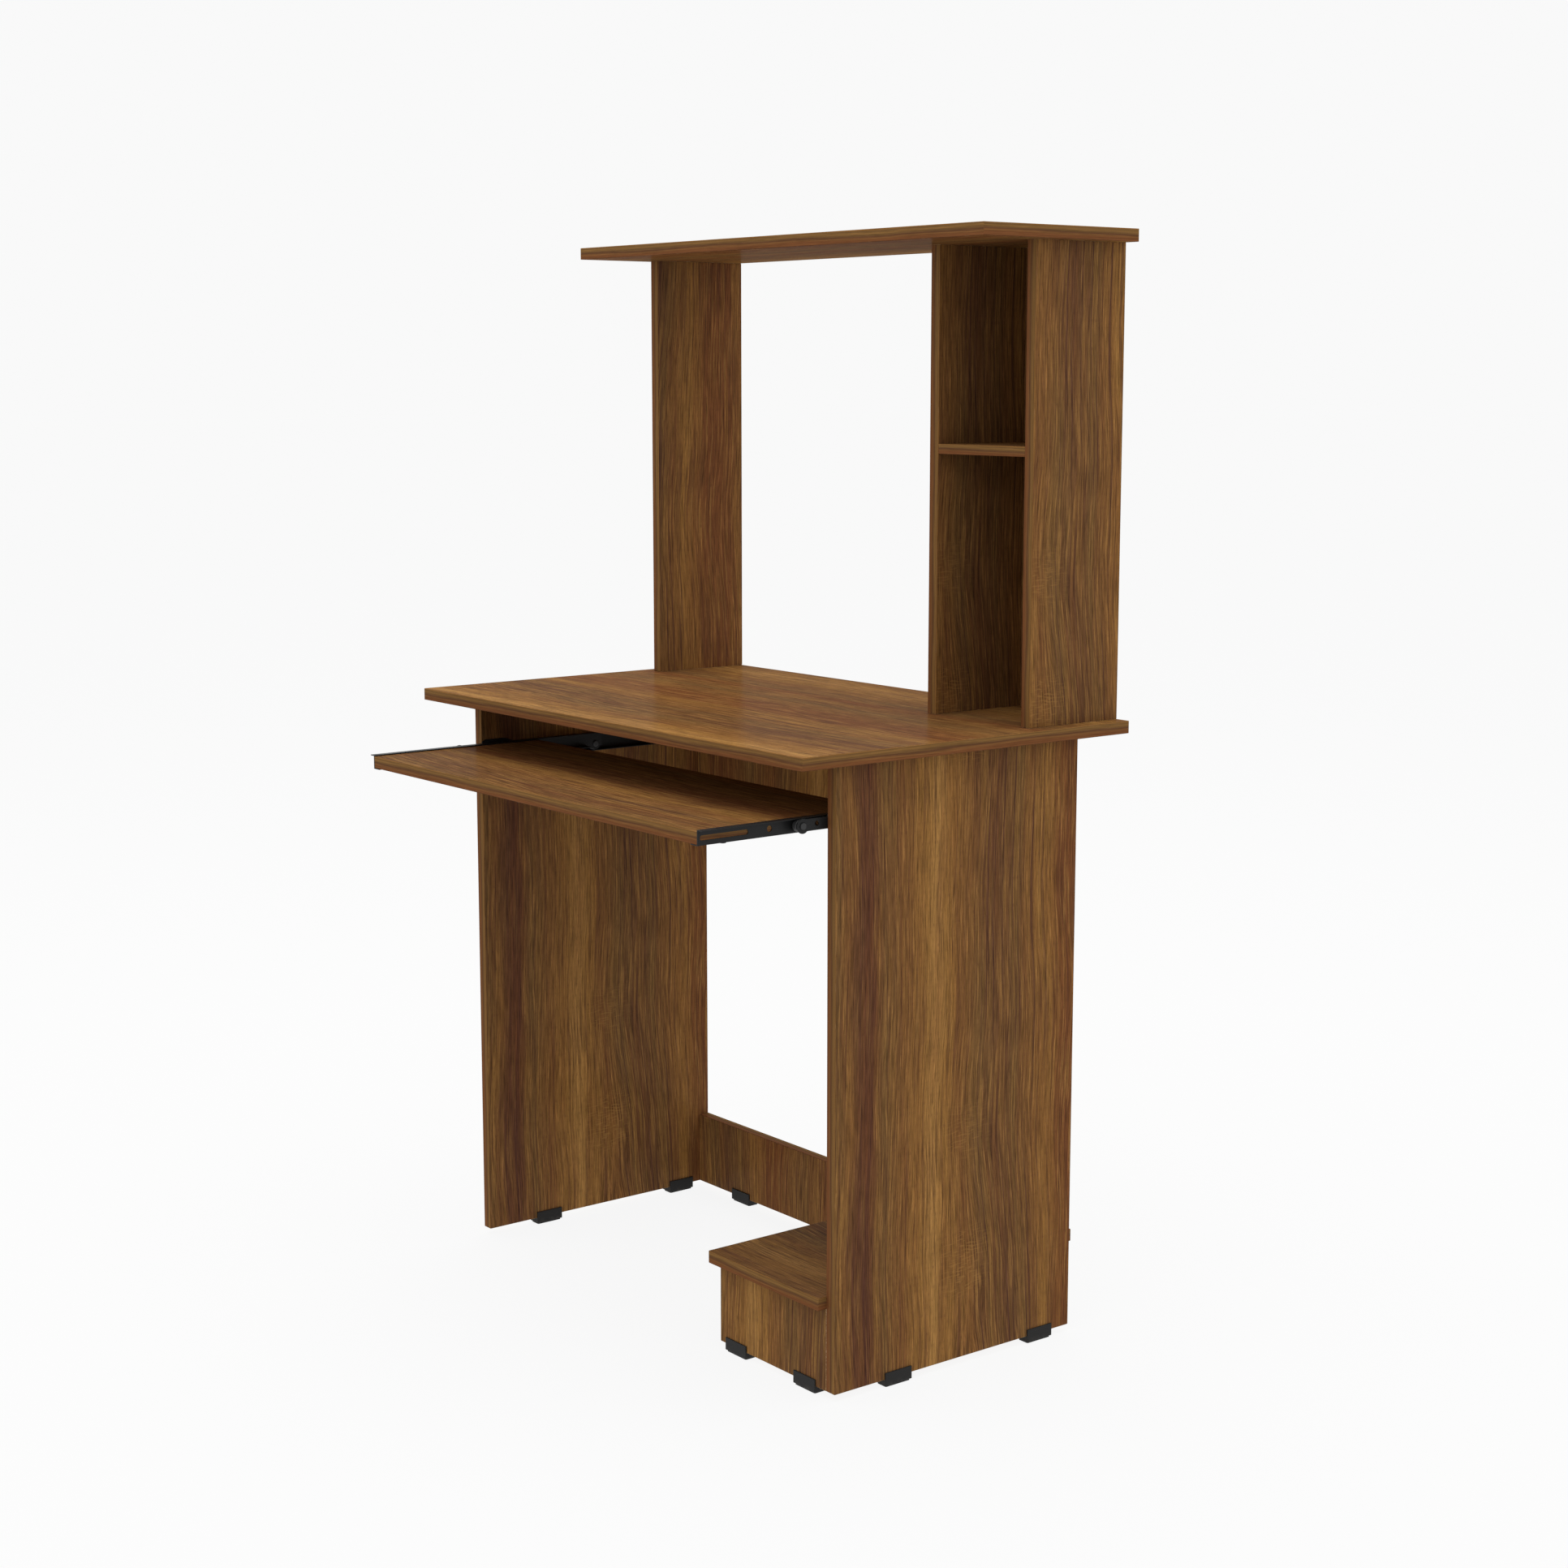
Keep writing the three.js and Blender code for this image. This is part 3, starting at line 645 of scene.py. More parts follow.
def new_piece(name, points, faces, corner_normals, finishes):
    """A mesh object at the origin, with its finishes and a normal for every corner."""
    mesh = bpy.data.meshes.new(name)
    mesh.from_pydata(points.tolist(), [], faces)
    for finish in finishes:
        mesh.materials.append(finish)
    mesh.polygons.foreach_set("use_smooth", np.ones(len(faces), dtype=bool))
    mesh.normals_split_custom_set(corner_normals.tolist())
    mesh.update()
    piece = bpy.data.objects.new(name, mesh)
    bpy.context.scene.collection.objects.link(piece)
    return piece


# %% [markdown]
# A board, a glide, a dowel and a screw's head are all one shape: an outline carried straight along
# an axis, with its two ends rounded over. A rectangle with a Bevel modifier would do for a plain
# board, but an outline can also have a rebate, and its flat ends can have recesses for the
# fasteners that sit in them.

# %% Outlines
ARRIS = 0.6 * MM
CORNER = 1.1 * MM
UPRIGHT_CORNER = 1.02 * ARRIS
ARC_POINTS = 4


def square_outline(corners, radius):
    """Right-angled corners, counter-clockwise, rounded to arcs: points and inward normals.

    An arc's centre lies one radius from both edges, inside an outer corner and outside an inner
    one, and its normal turns evenly from one edge's to the next's.
    """
    corners = np.asarray(corners, float)
    radius = np.broadcast_to(np.asarray(radius, float), len(corners))
    before = corners - np.roll(corners, 1, axis=0)
    before /= np.linalg.norm(before, axis=1, keepdims=True)
    after = np.roll(before, -1, axis=0)
    inward = [np.stack([-edge[:, 1], edge[:, 0]], axis=1) for edge in (before, after)]
    turn = np.sign(before[:, 0] * after[:, 1] - before[:, 1] * after[:, 0])
    centre = corners + (turn * radius)[:, None] * (inward[0] + inward[1])
    start = np.arctan2(inward[0][:, 1], inward[0][:, 0])
    angle = start[:, None] + turn[:, None] * np.linspace(0, math.pi / 2, ARC_POINTS)
    normal = np.stack([np.cos(angle), np.sin(angle)], axis=-1)
    points = centre[:, None] - (turn * radius)[:, None, None] * normal
    return points.reshape(-1, 2), normal.reshape(-1, 2)


def round_outline(centre, radius, facets=48, flutes=0, flute_depth=0.0):
    """A circle, or a fluted one: its radius dips by the flutes' depth as a cosine of the angle."""
    angle = np.arange(facets) / facets * 2 * math.pi
    reach = radius - flute_depth * 0.5 * (1 - np.cos(flutes * angle))
    ray = np.stack([np.cos(angle), np.sin(angle)], axis=1)
    return np.asarray(centre) + reach[:, None] * ray, -ray


def rectangle(low, high):
    """The four corners of a rectangle, counter-clockwise."""
    return [(low[0], low[1]), (high[0], low[1]), (high[0], high[1]), (low[0], high[1])]


def cross_outline(centre, reach, half_width):
    """A plus sign, as the recess that a cross-head driver fits."""
    r, w = reach, half_width
    corners = [(w, -r), (w, -w), (r, -w), (r, w), (w, w), (w, r),
               (-w, r), (-w, w), (-r, w), (-r, -w), (-w, -w), (-w, -r)]
    return square_outline(np.asarray(corners) + np.asarray(centre), 0.3 * half_width)


print("corners and arrises in mm", CORNER / MM, ARRIS / MM)

# %% [markdown]
# An outline becomes a solid by being carried along an axis. The quarter circles at its two ends
# round the arrises over, as a sander does, and the flat ends are cut into triangles around any
# recess, so that a recess opens into the board instead of being painted on.

# %% Prisms
TURN_TO_WORLD = {"x": [2, 0, 1], "y": [1, 2, 0], "z": [0, 1, 2]}


def lid(outlines, height, facing):
    """A flat face between an outline and its recesses, cut into triangles."""
    rings = [[Vector((*point, 0.0)) for point in outline.tolist()] for outline in outlines]
    triangles = np.array(tessellate_polygon(rings))
    flat = np.concatenate(outlines)
    points = np.column_stack([flat, np.full(len(flat), height)])
    normals = np.tile([0.0, 0.0, facing], (len(flat), 1))
    return points, normals, np.column_stack([triangles, triangles[:, 2]]), False


def prism(outline, axis, low, high, arris, recesses=()):
    """Patches of an outline carried along an axis, its ends rounded over.

    Towards each end the outline moves inwards by the arris times one minus a sine, while its
    height rises by the arris times one minus a cosine, which is a quarter circle. A recess is an
    outline, the end that it opens in ("low" or "high") and its depth.
    """
    points, inward = outline
    angle = np.linspace(0, math.pi / 2, ARC_POINTS)
    inset = arris * (1 - np.sin(angle))
    step = arris * (1 - np.cos(angle))
    insets = np.concatenate([inset, inset[::-1]])
    heights = np.concatenate([low + step, high - step[::-1]])
    lean = np.concatenate([-np.cos(angle), np.cos(angle)[::-1]])
    shape = (len(insets), len(points))
    flat = points + insets[:, None, None] * inward
    sides = np.dstack([flat, np.broadcast_to(heights[:, None], shape)])
    level = np.sqrt(np.maximum(0, 1 - lean**2))
    normals = np.dstack([-inward * level[:, None, None], np.broadcast_to(lean[:, None], shape)])
    patches = [grid_patch(sides, normals)]
    openings = {"low": [flat[0]], "high": [flat[-1]]}
    for (hole, hole_inward), end, depth in recesses:
        mouth, floor = (low, low + depth) if end == "low" else (high, high - depth)
        wall = np.stack([np.column_stack([hole, np.full(len(hole), z)]) for z in (mouth, floor)])
        wall_normals = np.column_stack([hole_inward, np.zeros(len(hole))])
        patches.append(grid_patch(wall, np.stack([wall_normals] * 2), True))
        facing = -1.0 if end == "low" else 1.0
        patches.append((*lid([hole], floor, facing)[:3], True))
        openings[end].append(hole)
    patches.append(lid(openings["low"], low, -1.0))
    patches.append(lid(openings["high"], high, 1.0))
    turned = TURN_TO_WORLD[axis]
    return [(p[:, turned], n[:, turned], quads, recessed) for p, n, quads, recessed in patches]


unit_square = square_outline(rectangle((0.0, 0.0), (1.0, 1.0)), CORNER)
print("patches in a plain prism", len(prism(unit_square, "z", 0.0, 1.0, ARRIS)))

# %% [markdown]
# A board's faces are printed, the edges that show are taped, and the rest is bare chipboard, so each
# face of the mesh is sorted by the way it points. The same sorting lays out the grain map: across
# and along the board on its faces, and through its thickness and along the edge on its edges. Every
# edge starts at another place on the roll of tape, so that no two look alike.

# %% The grain map
WAYS = {"-x": (0, -1), "+x": (0, 1), "-y": (1, -1), "+y": (1, 1), "-z": (2, -1), "+z": (2, 1)}
PRINTED_FACE, TAPED_FACE, BARE_FACE, FIBRE_FACE = range(4)
FACE_ON = 0.8  # the least share of a normal, along the thickness, that makes a face printed
EDGE_SHIFT = 1.3
BOARD_SHIFT = 5.0


def lay_grain(piece, low, high, normals, recessed, normal, grain, print_at, taped, behind):
    """Sort a board's faces into printed, taped, bare and hardboard, and give them their map.

    print_at is the place in the print, across and along, of the board's lowest corner.
    """
    mesh = piece.data
    counts = np.zeros(len(mesh.polygons), dtype=int)
    mesh.polygons.foreach_get("loop_total", counts)
    face_of_corner = np.repeat(np.arange(len(counts)), counts)
    facing = np.zeros((len(counts), 3))
    np.add.at(facing, face_of_corner, normals)
    facing /= np.linalg.norm(facing, axis=1, keepdims=True)
    on_face = np.abs(facing[:, normal]) > FACE_ON
    ways = list(WAYS)
    towards = np.stack([facing[:, axis] * sign for axis, sign in WAYS.values()], axis=1)
    towards[:, [2 * normal, 2 * normal + 1]] = -1
    edge = np.argmax(towards, axis=1)
    is_taped = np.isin(edge, [ways.index(way) for way in taped])
    kind = np.where(on_face, PRINTED_FACE, np.where(is_taped, TAPED_FACE, BARE_FACE))
    kind[recessed] = BARE_FACE
    if behind:
        axis, sign = WAYS[behind]
        kind[on_face & (facing[:, axis] * sign > 0)] = FIBRE_FACE
    mesh.polygons.foreach_set("material_index", kind.astype(np.int32))

    corner_index = np.zeros(len(mesh.loops), dtype=int)
    mesh.loops.foreach_get("vertex_index", corner_index)
    points = np.zeros(len(mesh.vertices) * 3)
    mesh.vertices.foreach_get("co", points)
    place = points.reshape(-1, 3)[corner_index] - low
    across = 3 - normal - grain
    printed = place[:, [across, grain]] + np.asarray(print_at)
    depth = place[:, normal] / (high[normal] - low[normal]) * TAPE_SPAN
    corner_edge = edge[face_of_corner]
    length_axis = np.where(corner_edge // 2 == across, grain, across)
    length = np.take_along_axis(place, length_axis[:, None], axis=1)[:, 0]
    length = length + EDGE_SHIFT * corner_edge + BOARD_SHIFT * sum(print_at)
    taped_map = np.column_stack([depth, length])
    whole_map = np.where(on_face[face_of_corner][:, None], printed, taped_map)
    layer = mesh.uv_layers.new(name="grain")
    layer.data.foreach_set("uv", whole_map.ravel())


print("a taped edge's map is", TAPE_SPAN / MM, "mm wide")

# %% [markdown]
# A board is a prism through its thickness, in the box that the model gives it. Where another board
# lies in a rebate cut along its height, the prism is carried along that height instead, because
# then the rebate is part of the outline and needs no cutting.


# %% Boards
def board(node, normal, grain, print_at, taped, recesses=(), notch=None, behind=None):
    """A board in a node's box, its face's axis and its grain's axis given by name.

    A notched board is a prism along its height instead, so that its outline can hold the rebate.
    """
    low, high = corners_of(node)
    if notch is None:
        sides = other_axes(AXIS[normal])
        outline = square_outline(rectangle(low[sides], high[sides]), CORNER)
        axis = normal
    else:
        outline = square_outline(notch(low, high), UPRIGHT_CORNER)
        axis = "z"
    along = AXIS[axis]
    patches = prism(outline, axis, low[along], high[along], ARRIS, recesses)
    points, faces, normals, recessed = merged(patches)
    finishes = [OAK, TAPED, BARE] + ([FIBRE] if behind else [])
    piece = new_piece(f"{node}_faced", points, faces, normals, finishes)
    lay_grain(piece, low, high, normals, recessed, AXIS[normal], AXIS[grain], print_at, taped, behind)
    stand_for(piece, node)


print("finishes on a board", [finish.name for finish in (OAK, TAPED, BARE, FIBRE)])

# %% [markdown]
# Where each board was sawn from the print decides which figure it shows. Both side panels show the
# same part of it, with a dark streak near the front, a golden zone behind that and arched lines
# further back, and the hutch's divider and right upright share another part. The cams sit in the
# panels' inner faces and the uprights' screws in the desktop's underside, so those get recesses.

# %% The desk's lower boards
FIT = 0.3 * MM


def fastener_recess(node, axis, end, radius_axis, facets=48):
    """A round recess for a fastener, a little wider and deeper than the part of it that shows."""
    low, high = corners_of(node)
    centre = (low + high)[other_axes(AXIS[axis])] / 2
    radius = (high - low)[AXIS[radius_axis]] / 2 + FIT
    return round_outline(centre, radius, facets), end


CAM_DEPTH = 12.3 * MM
SCREW_HEAD_DEPTH = 4.3 * MM
left_cam_recess = (*fastener_recess("left_cam", "x", "high", "y"), CAM_DEPTH)
right_cam_recess = (*fastener_recess("right_cam", "x", "low", "y"), CAM_DEPTH)
foot_screws = ["hutch_left_upright_screw", "hutch_divider_screw", "hutch_right_upright_screw"]
foot_recesses = [(*fastener_recess(node, "z", "low", "x", 32), SCREW_HEAD_DEPTH)
                 for node in foot_screws]
ALL_ROUND = ["-x", "+x", "-y", "+y"]

board("desktop", "z", "x", (0.135, -0.03), ALL_ROUND, foot_recesses)
board("left_side_panel", "x", "z", (0.0, 0.0), ["-y", "+y"], [left_cam_recess])
board("right_side_panel", "x", "z", (0.0, 0.0), ["-y", "+y"], [right_cam_recess])
board("modesty_panel", "y", "z", (0.31, 0.50), ["-z"])
board("back_stretcher", "y", "z", (1.07, 0.16), ["+z"])
board("tower_shelf", "z", "x", (0.09, 0.21), ALL_ROUND)
board("tower_plinth", "y", "z", (0.52, 0.61), ["-x"])
board("keyboard_tray", "z", "x", (0.66, 0.04), ALL_ROUND)
print("lower boards made")

# %% [markdown]
# The hutch's bay is closed by hardboard that lies in a rebate in the boards beside it. Their
# outlines, seen from above, therefore step in at the back corner that faces the bay.


# %% The hutch
def rebate_at(side):
    """An upright's outline from above, with a corner cut out at the back for the hardboard."""
    def outline(low, high):
        """Six corners, counter-clockwise: the rectangle less the rebate."""
        panel_low, panel_high = corners_of("bay_back")
        back = panel_low[1] - FIT
        if side == "right":
            cut = panel_low[0] - FIT
            return [(low[0], low[1]), (high[0], low[1]), (high[0], back), (cut, back),
                    (cut, high[1]), (low[0], high[1])]
        cut = panel_high[0] + FIT
        return [(low[0], low[1]), (high[0], low[1]), (high[0], high[1]), (cut, high[1]),
                (cut, back), (low[0], back)]
    return outline


UPRIGHT_EDGES = ["-y", "+y"]
board("hutch_left_upright", "x", "z", (0.71, 0.33), UPRIGHT_EDGES)
board("hutch_divider", "x", "z", (0.178, 0.10), UPRIGHT_EDGES, notch=rebate_at("right"))
board("hutch_right_upright", "x", "z", (0.178, 0.10), UPRIGHT_EDGES, notch=rebate_at("left"))
board("middle_shelf", "z", "x", (0.22, 0.30), ["-y"])
board("top_shelf", "z", "x", (0.36, 0.07), ALL_ROUND)
board("bay_back", "y", "z", (0.49, 0.27), [], behind="+y")
print("hutch made")

# %% [markdown]
# The rollers and their rivets are round about an axis along X, so each is a profile carried round
# that axis. The profile's corners are rounded in the same way as a board's outline. A Screw
# modifier could carry the profile round too, but here the normals come with the points.


# %% Turned pieces
def turned_piece(name, profile, radius, side, centre, finish, facets=64):
    """A profile of (distance from the axis, distance from the desk's middle) carried round.

    Each point of the profile becomes a ring: its height along X stays, and its distance from
    the axis is shared between Y and Z as the cosine and the sine of the angle.
    """
    points, inward = square_outline(profile, radius)
    points = np.vstack([points, points[:1]])
    inward = np.vstack([inward, inward[:1]])
    angle = np.arange(facets) / facets * 2 * math.pi
    cosine, sine = np.cos(angle), np.sin(angle)

    def carried(pairs, offset):
        """(distance, height) pairs as rings of (x, y, z)."""
        distance, height = pairs[:, :1], pairs[:, 1:] * side
        rings = np.broadcast_to(height, (len(pairs), facets))
        return np.dstack([rings, distance * cosine + offset[0], distance * sine + offset[1]])

    patch = grid_patch(carried(points, centre), carried(-inward, (0.0, 0.0)))
    return new_piece(name, *merged([patch])[:3], [finish])


def side_of(node):
    """1 for a piece on the right of the desk and -1 on the left."""
    return 1 if corners_of(node)[0][0] > 0 else -1


print("pieces to turn", len(named("roller") + named("rivet")))

# %% [markdown]
# A roller runs on its tread, turns on its hub and needs little in between, so its cheeks are
# recessed, as on a moulded one, to save plastic and keep it true.

# %% Rollers
RIVET_RADIUS = 2.0 * MM
HUB_RADIUS = 3.9 * MM
RIM_WALL = 1.5 * MM
CHEEK_DEPTH = 0.7 * MM
TREAD_ARRIS = 0.7 * MM
ROLLER_ARRIS = 0.2 * MM


def roller(node):
    """Hub, recessed cheeks and a rounded tread, between the roller's own two faces."""
    low, high = corners_of(node)
    near, far = sorted(np.abs([low[0], high[0]]))
    centre = (low + high)[1:] / 2
    rim = (high[2] - low[2]) / 2
    bore, hub, inner_rim = RIVET_RADIUS + FIT, HUB_RADIUS, rim - RIM_WALL
    profile = [
        (bore, near), (hub, near), (hub, near + CHEEK_DEPTH), (inner_rim, near + CHEEK_DEPTH),
        (inner_rim, near), (rim, near), (rim, far), (inner_rim, far), (inner_rim, far - CHEEK_DEPTH),
        (hub, far - CHEEK_DEPTH), (hub, far), (bore, far),
    ]
    rounding = np.full(len(profile), ROLLER_ARRIS)
    rounding[5:7] = TREAD_ARRIS
    piece = turned_piece(f"{node}_turned", profile, rounding, side_of(node), centre, NYLON)
    stand_for(piece, node)


for node in named("roller"):
    roller(node)
print("rollers", len(named("roller")))

# %% [markdown]
# A rivet's head shows on the steel and its flange keeps the roller on. The front ones are headed
# on the panel's side of the steel and the rear ones on the tray's, so the profile is written from
# the flange to the head, and its order is turned round where the head is the nearer of the two.


# %% Rivets
RIVET_FLANGE = 3.3 * MM
RIVET_HEAD = 4.2 * MM
RIVET_HEAD_HEIGHT = 1.4 * MM
STEEL_ROOM = 1.0 * MM + 2 * FIT  # the sheet, with its clearance on both sides
RIVET_FACETS = 40


def rivet(node):
    """A domed head, a shank, a shoulder and a keeper flange, within the rivet's own length."""
    low, high = corners_of(node)
    near, far = sorted(np.abs([low[0], high[0]]))
    centre = (low + high)[1:] / 2
    roller_low, roller_high = corners_of(node.removesuffix("_rivet"))
    roller_near, roller_far = sorted(np.abs([roller_low[0], roller_high[0]]))
    if "front" in node:
        head, head_seat, shoulder = far, far - RIVET_HEAD_HEIGHT, roller_far + FIT
        keeper, keeper_seat = near, roller_near - FIT
    else:
        head, head_seat, shoulder = near, near + RIVET_HEAD_HEIGHT, roller_near - FIT
        keeper, keeper_seat = far, roller_far + FIT
    web_seat = head_seat - STEEL_ROOM if "front" in node else head_seat + STEEL_ROOM
    profile = [
        (0.0, keeper), (RIVET_FLANGE, keeper), (RIVET_FLANGE, keeper_seat),
        (RIVET_RADIUS, keeper_seat), (RIVET_RADIUS, shoulder), (RIVET_FLANGE, shoulder),
        (RIVET_FLANGE, web_seat), (RIVET_RADIUS, web_seat), (RIVET_RADIUS, head_seat),
        (RIVET_HEAD, head_seat), (RIVET_HEAD, head), (0.0, head),
    ]
    rounding = np.array([0, 0.25, 0.1, 0, 0, 0.1, 0.1, 0, 0, 0.1, 1.1, 0]) * MM
    if head < keeper:
        profile, rounding = profile[::-1], rounding[::-1]
    piece = turned_piece(f"{node}_turned", profile, rounding, side_of(node), centre, BLACK_ZINC,
                         RIVET_FACETS)
    stand_for(piece, node)


for node in named("rivet"):
    rivet(node)
print("rivets", len(named("rivet")))

# %% [markdown]
# Every screw and cam has a round head with a cross recess for a driver. The recess is real: it is
# cut into the head's end, because a bump would look flat from the side.


# %% Screws and cams
SHANK_OVERLAP = 0.2 * MM


def headed_screw(node, axis, head_end, head_height, shank_radius, cross, arris, finish):
    """A rounded head with a cross recess at one end of a shank, both within the node's box.

    head_end says whether the head is at the low or the high end of the axis. The cross is given
    as the reach and the half width of its arms, and its depth.
    """
    low, high = corners_of(node)
    along = AXIS[axis]
    sides = other_axes(along)
    centre = (low + high)[sides] / 2
    head_radius = (high - low)[sides[0]] / 2
    ends = [low[along], low[along] + head_height]
    shank = [ends[1] - SHANK_OVERLAP, high[along]]
    if head_end == "high":
        ends = [high[along] - head_height, high[along]]
        shank = [low[along], ends[0] + SHANK_OVERLAP]
    reach, half_width, depth = cross
    recess = (cross_outline(centre, reach, half_width), head_end, depth)
    patches = prism(round_outline(centre, head_radius), axis, *ends, arris, [recess])
    patches += prism(round_outline(centre, shank_radius, 24), axis, *shank, 0.45 * shank_radius)
    piece = new_piece(f"{node}_driven", *merged(patches)[:3], [finish])
    stand_for(piece, node)


PAN_HEAD = {"head_height": 1.3 * MM, "shank_radius": 1.9 * MM, "arris": 0.6 * MM,
            "cross": (2.1 * MM, 0.42 * MM, 0.8 * MM), "finish": BLACK_ZINC}
WOOD_HEAD = {"head_height": 3.7 * MM, "shank_radius": 2.5 * MM, "arris": 0.4 * MM,
             "cross": (2.8 * MM, 0.55 * MM, 1.6 * MM), "finish": ZINC}
for node in named("screw_1") + named("screw_2"):
    if "cabinet" in node:
        headed_screw(node, "x", "low" if side_of(node) > 0 else "high", **PAN_HEAD)
    else:
        headed_screw(node, "z", "low", **PAN_HEAD)
for node in foot_screws:
    headed_screw(node, "z", "low", **WOOD_HEAD)

CAM_CROSS_REACH, CAM_CROSS_HALF_WIDTH, CAM_CROSS_DEPTH = 3.6 * MM, 0.8 * MM, 2.6 * MM
CAM_ARRIS = 0.5 * MM
for node in ("left_cam", "right_cam"):
    low, high = corners_of(node)
    cam_end = "high" if node.startswith("left") else "low"
    cam_centre = (low + high)[1:] / 2
    cam_mark = cross_outline(cam_centre, CAM_CROSS_REACH, CAM_CROSS_HALF_WIDTH)
    cam_cross = (cam_mark, cam_end, CAM_CROSS_DEPTH)
    cam_rim = round_outline(cam_centre, (high - low)[1] / 2)
    cam_patches = prism(cam_rim, "x", low[0], high[0], CAM_ARRIS, [cam_cross])
    cam = new_piece(f"{node}_cast", *merged(cam_patches)[:3], [ZINC])
    stand_for(cam, node)
print("screws", len(named("screw_1") + named("screw_2") + foot_screws), "and 2 cams")

# %% [markdown]
# A glide is an extruded channel that grips a board's bottom edge, with a thicker sole under it.
# The dowels are fluted, so that glue can rise past them as they are driven in.

# %% Glides and dowels
GLIDE_WALL = 2.0 * MM
GLIDE_LIFT = 9.0 * MM
SOLE_INSET = 1.5 * MM
SOLE_HEIGHT = 2.0 * MM
SOLE_CORNER = 2.0 * MM
SOLE_ARRIS = 0.4 * MM
GLIDE_ARRIS = 0.5 * MM
DOWEL_FACETS = 96
DOWEL_FLUTES = 16
FLUTE_DEPTH = 0.5 * MM
DOWEL_CHAMFER = 0.9 * MM


def glide(node):
    """A channel section carried along the board's edge, and a sole set in from all four sides."""
    low, high = corners_of(node)
    axis = "x" if (high - low)[0] > (high - low)[1] else "y"
    across = AXIS["y" if axis == "x" else "x"]
    a0, a1, z0, z1 = low[across], high[across], low[2] + SOLE_HEIGHT, high[2]
    lift = low[2] + GLIDE_LIFT
    section = np.array([
        (a0, z0), (a1, z0), (a1, z1), (a1 - GLIDE_WALL, z1), (a1 - GLIDE_WALL, lift),
        (a0 + GLIDE_WALL, lift), (a0 + GLIDE_WALL, z1), (a0, z1),
    ])
    if axis == "y":
        section = section[::-1, ::-1]
    along = AXIS[axis]
    rounding = np.array([0.8, 0.8, 0.6, 0.6, 0.3, 0.3, 0.6, 0.6]) * MM
    if axis == "y":
        rounding = rounding[::-1]
    outline = square_outline(section, rounding)
    patches = prism(outline, axis, low[along], high[along], GLIDE_ARRIS)
    sole = square_outline(rectangle(low[:2] + SOLE_INSET, high[:2] - SOLE_INSET), SOLE_CORNER)
    patches += prism(sole, "z", low[2], low[2] + SOLE_HEIGHT, SOLE_ARRIS)
    piece = new_piece(f"{node}_moulded", *merged(patches)[:3], [PLASTIC])
    stand_for(piece, node)


def dowel(node):
    """A fluted circle carried along the node's longest side, with chamfered ends."""
    low, high = corners_of(node)
    along = int(np.argmax(high - low))
    sides = other_axes(along)
    centre = (low + high)[sides] / 2
    radius = (high - low)[sides[0]] / 2
    outline = round_outline(centre, radius, DOWEL_FACETS, DOWEL_FLUTES, FLUTE_DEPTH)
    patches = prism(outline, "xyz"[along], low[along], high[along], DOWEL_CHAMFER)
    piece = new_piece(f"{node}_fluted", *merged(patches)[:3], [BEECH])
    stand_for(piece, node)


for node in named("glide"):
    glide(node)
for node in named("dowel"):
    dowel(node)
print("glides", len(named("glide")), "dowels", len(named("dowel")))

# %% [markdown]
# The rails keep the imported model's shape, which already has their slots, ears and lips. Sheet
# steel has no knife edges, though. Welding the loose triangles together and bevelling by angle
# rounds every edge by about a fifth of a millimetre, and leaves the mesh itself alone.

# %% Rails and cam bolts
WELD_REACH = 0.001 * MM
STEEL_EDGE = 0.22 * MM
for node in named("rail"):
    rail = frame["nodes"][node]
    rail.data.materials.clear()
    rail.data.materials.append(EPOXY)
    weld = rail.modifiers.new("weld", "WELD")
    weld.merge_threshold = WELD_REACH
    edge = rail.modifiers.new("edge", "BEVEL")
    edge.width = STEEL_EDGE
    edge.segments = 2
    edge.limit_method = "ANGLE"
    edge.angle_limit = math.radians(40)

for node in named("cam_bolt"):
    bolt = frame["nodes"][node]
    bolt.data.materials.clear()
    bolt.data.materials.append(ZINC)
print("rails", named("rail"))

# %% [markdown]
# The desk stands in soft light that comes from all round, as in a white tent, and a lamp as broad as
# the ceiling makes its tops a little brighter than its sides. A small lamp would throw hard shadows
# across the knee space. The floor glows, as a light table does, so that it stays pale under the desk
# and melts into the background behind it.

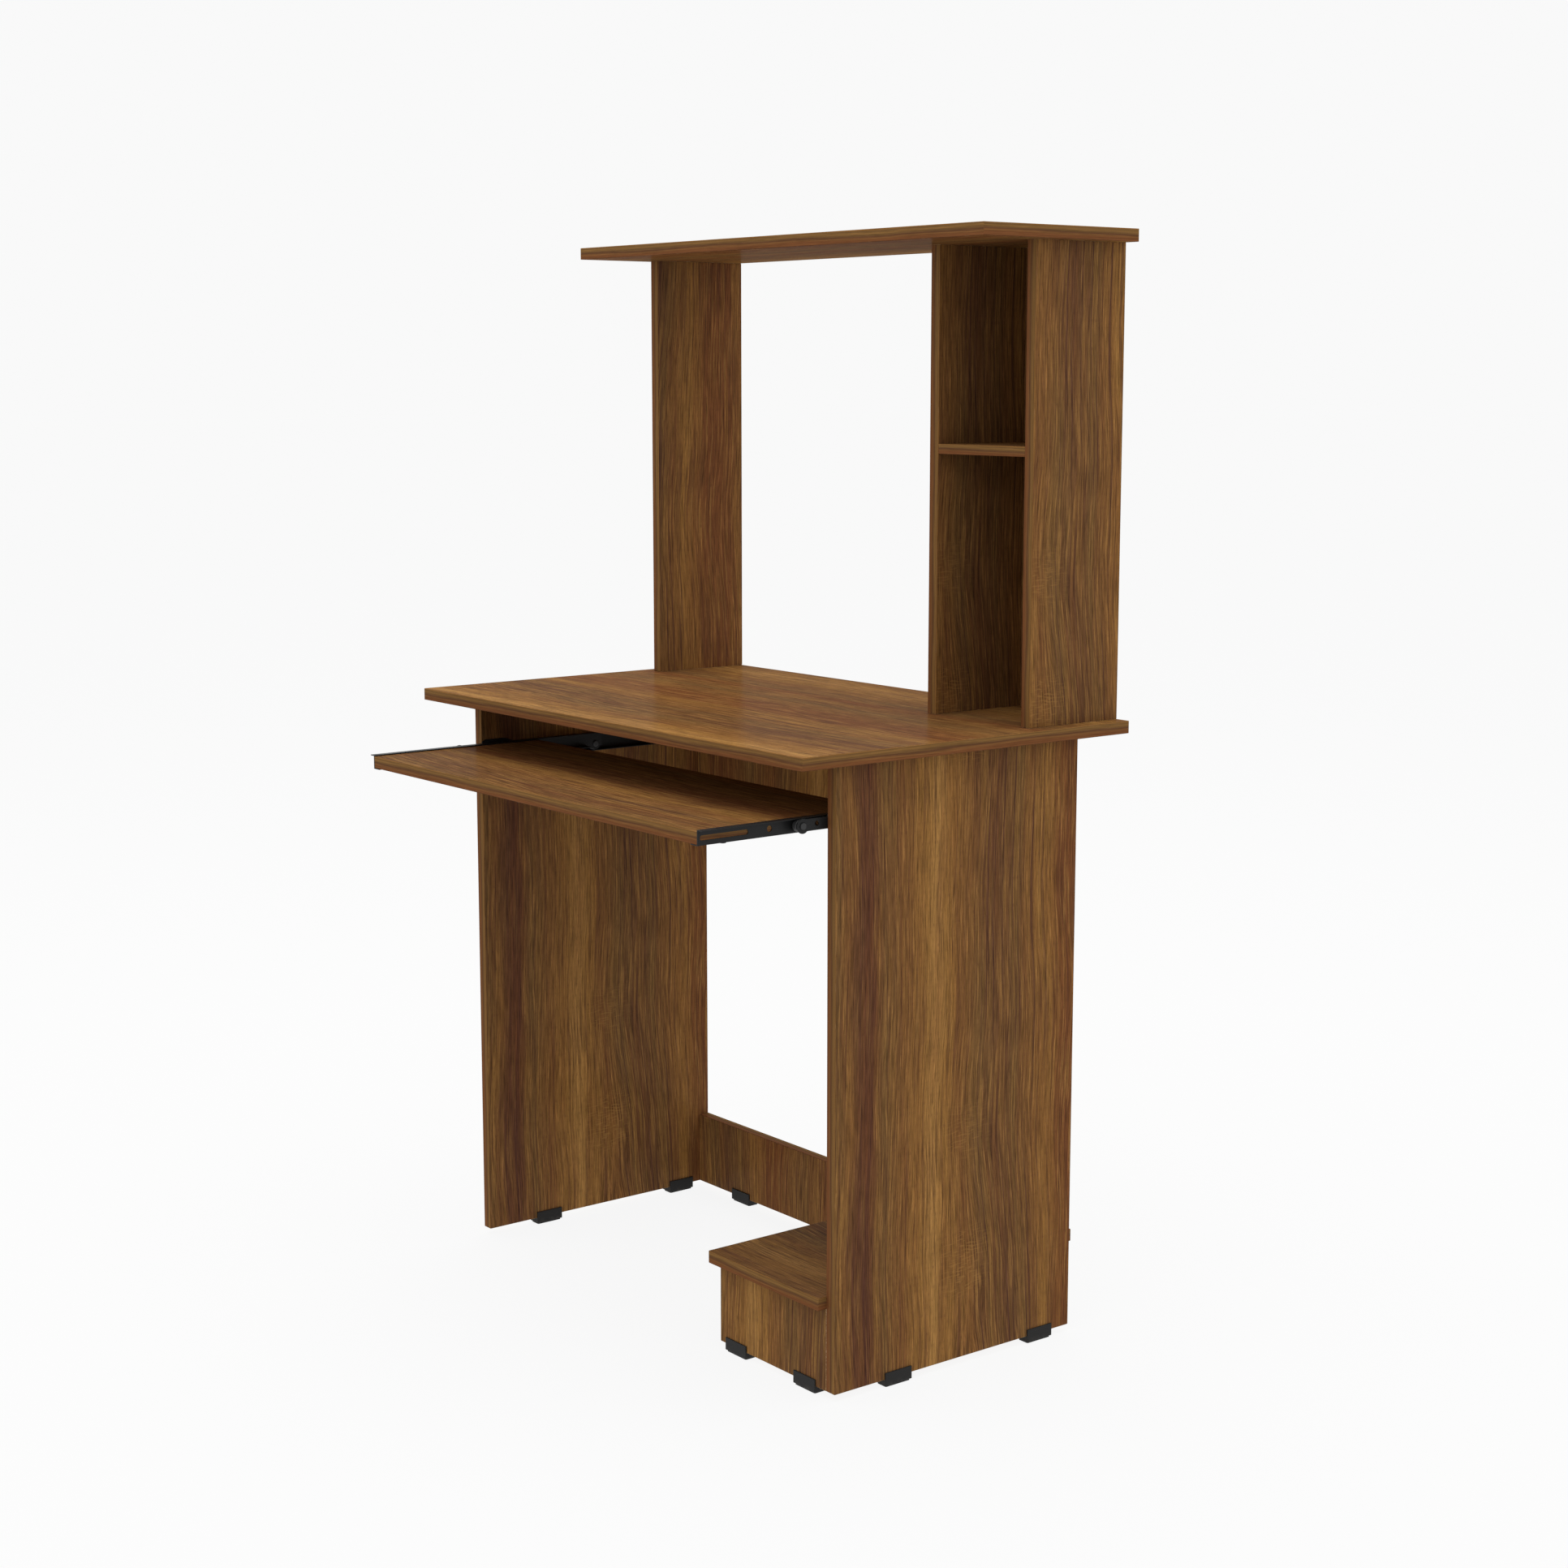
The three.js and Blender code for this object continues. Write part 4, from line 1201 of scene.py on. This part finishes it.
# %% Light and floor
TENT = 0.947
LAMP_SIZE = 5.0
LAMP_HEIGHT = 4.2
LAMP_GLOW = 1.9
FLOOR_TINT = 0.06
world = bpy.data.worlds.new("tent")
bpy.context.scene.world = world
world.use_nodes = True
background = world.node_tree.nodes["Background"]
background.inputs["Color"].default_value = (1.0, 1.0, 1.0, 1.0)
background.inputs["Strength"].default_value = TENT

lamp = bpy.data.lights.new("lamp", "AREA")
lamp.size = LAMP_SIZE
lamp.energy = LAMP_GLOW * math.pi * LAMP_SIZE**2
lamp_stand = bpy.data.objects.new("lamp", lamp)
lamp_stand.location = (0.0, 0.0, LAMP_HEIGHT)
bpy.context.scene.collection.objects.link(lamp_stand)

floor_paint = Paint("pale_floor")
floor_glow = TENT * (1 - FLOOR_TINT)
floor_finish = floor_paint.finish(
    Base_Color=(FLOOR_TINT, FLOOR_TINT, FLOOR_TINT, 1.0),
    Roughness=1.0,
    Specular_IOR_Level=0.0,
    Emission_Color=(1.0, 1.0, 1.0, 1.0),
    Emission_Strength=floor_glow,
)
FLOOR_REACH = 60.0
floor_mesh = bpy.data.meshes.new("floor")
floor_corners = [(x, y, 0.0) for x, y in rectangle((-FLOOR_REACH,) * 2, (FLOOR_REACH,) * 2)]
floor_mesh.from_pydata(floor_corners, [], [(0, 1, 2, 3)])
floor_mesh.materials.append(floor_finish)
floor = bpy.data.objects.new("floor", floor_mesh)
bpy.context.scene.collection.objects.link(floor)
bpy.context.scene.view_settings.view_transform = "Standard"
print("tent", TENT, "floor glow", round(floor_glow, 3))

# %% [markdown]
# The camera stands to the right of the desk and a little above its top, and looks slightly down.
# Its lens is a long one, so the boards' parallel edges draw together only gently.

# %% Camera
FOCAL_LENGTH = 59.78  # mm, on a sensor 36 mm wide
CAMERA_PLACE = (2.56987, -1.9157, 1.1605)
LOOKING_DOWN = 0.1564026
TURNED_LEFT = 0.9077884
lens = bpy.data.cameras.new("camera")
lens.lens = FOCAL_LENGTH
lens.sensor_width = 36.0
camera = bpy.data.objects.new("camera", lens)
camera.location = CAMERA_PLACE
camera.rotation_euler = (math.pi / 2 - LOOKING_DOWN, 0.0, TURNED_LEFT)
bpy.context.scene.collection.objects.link(camera)
bpy.context.scene.camera = camera
print("camera", tuple(camera.location))
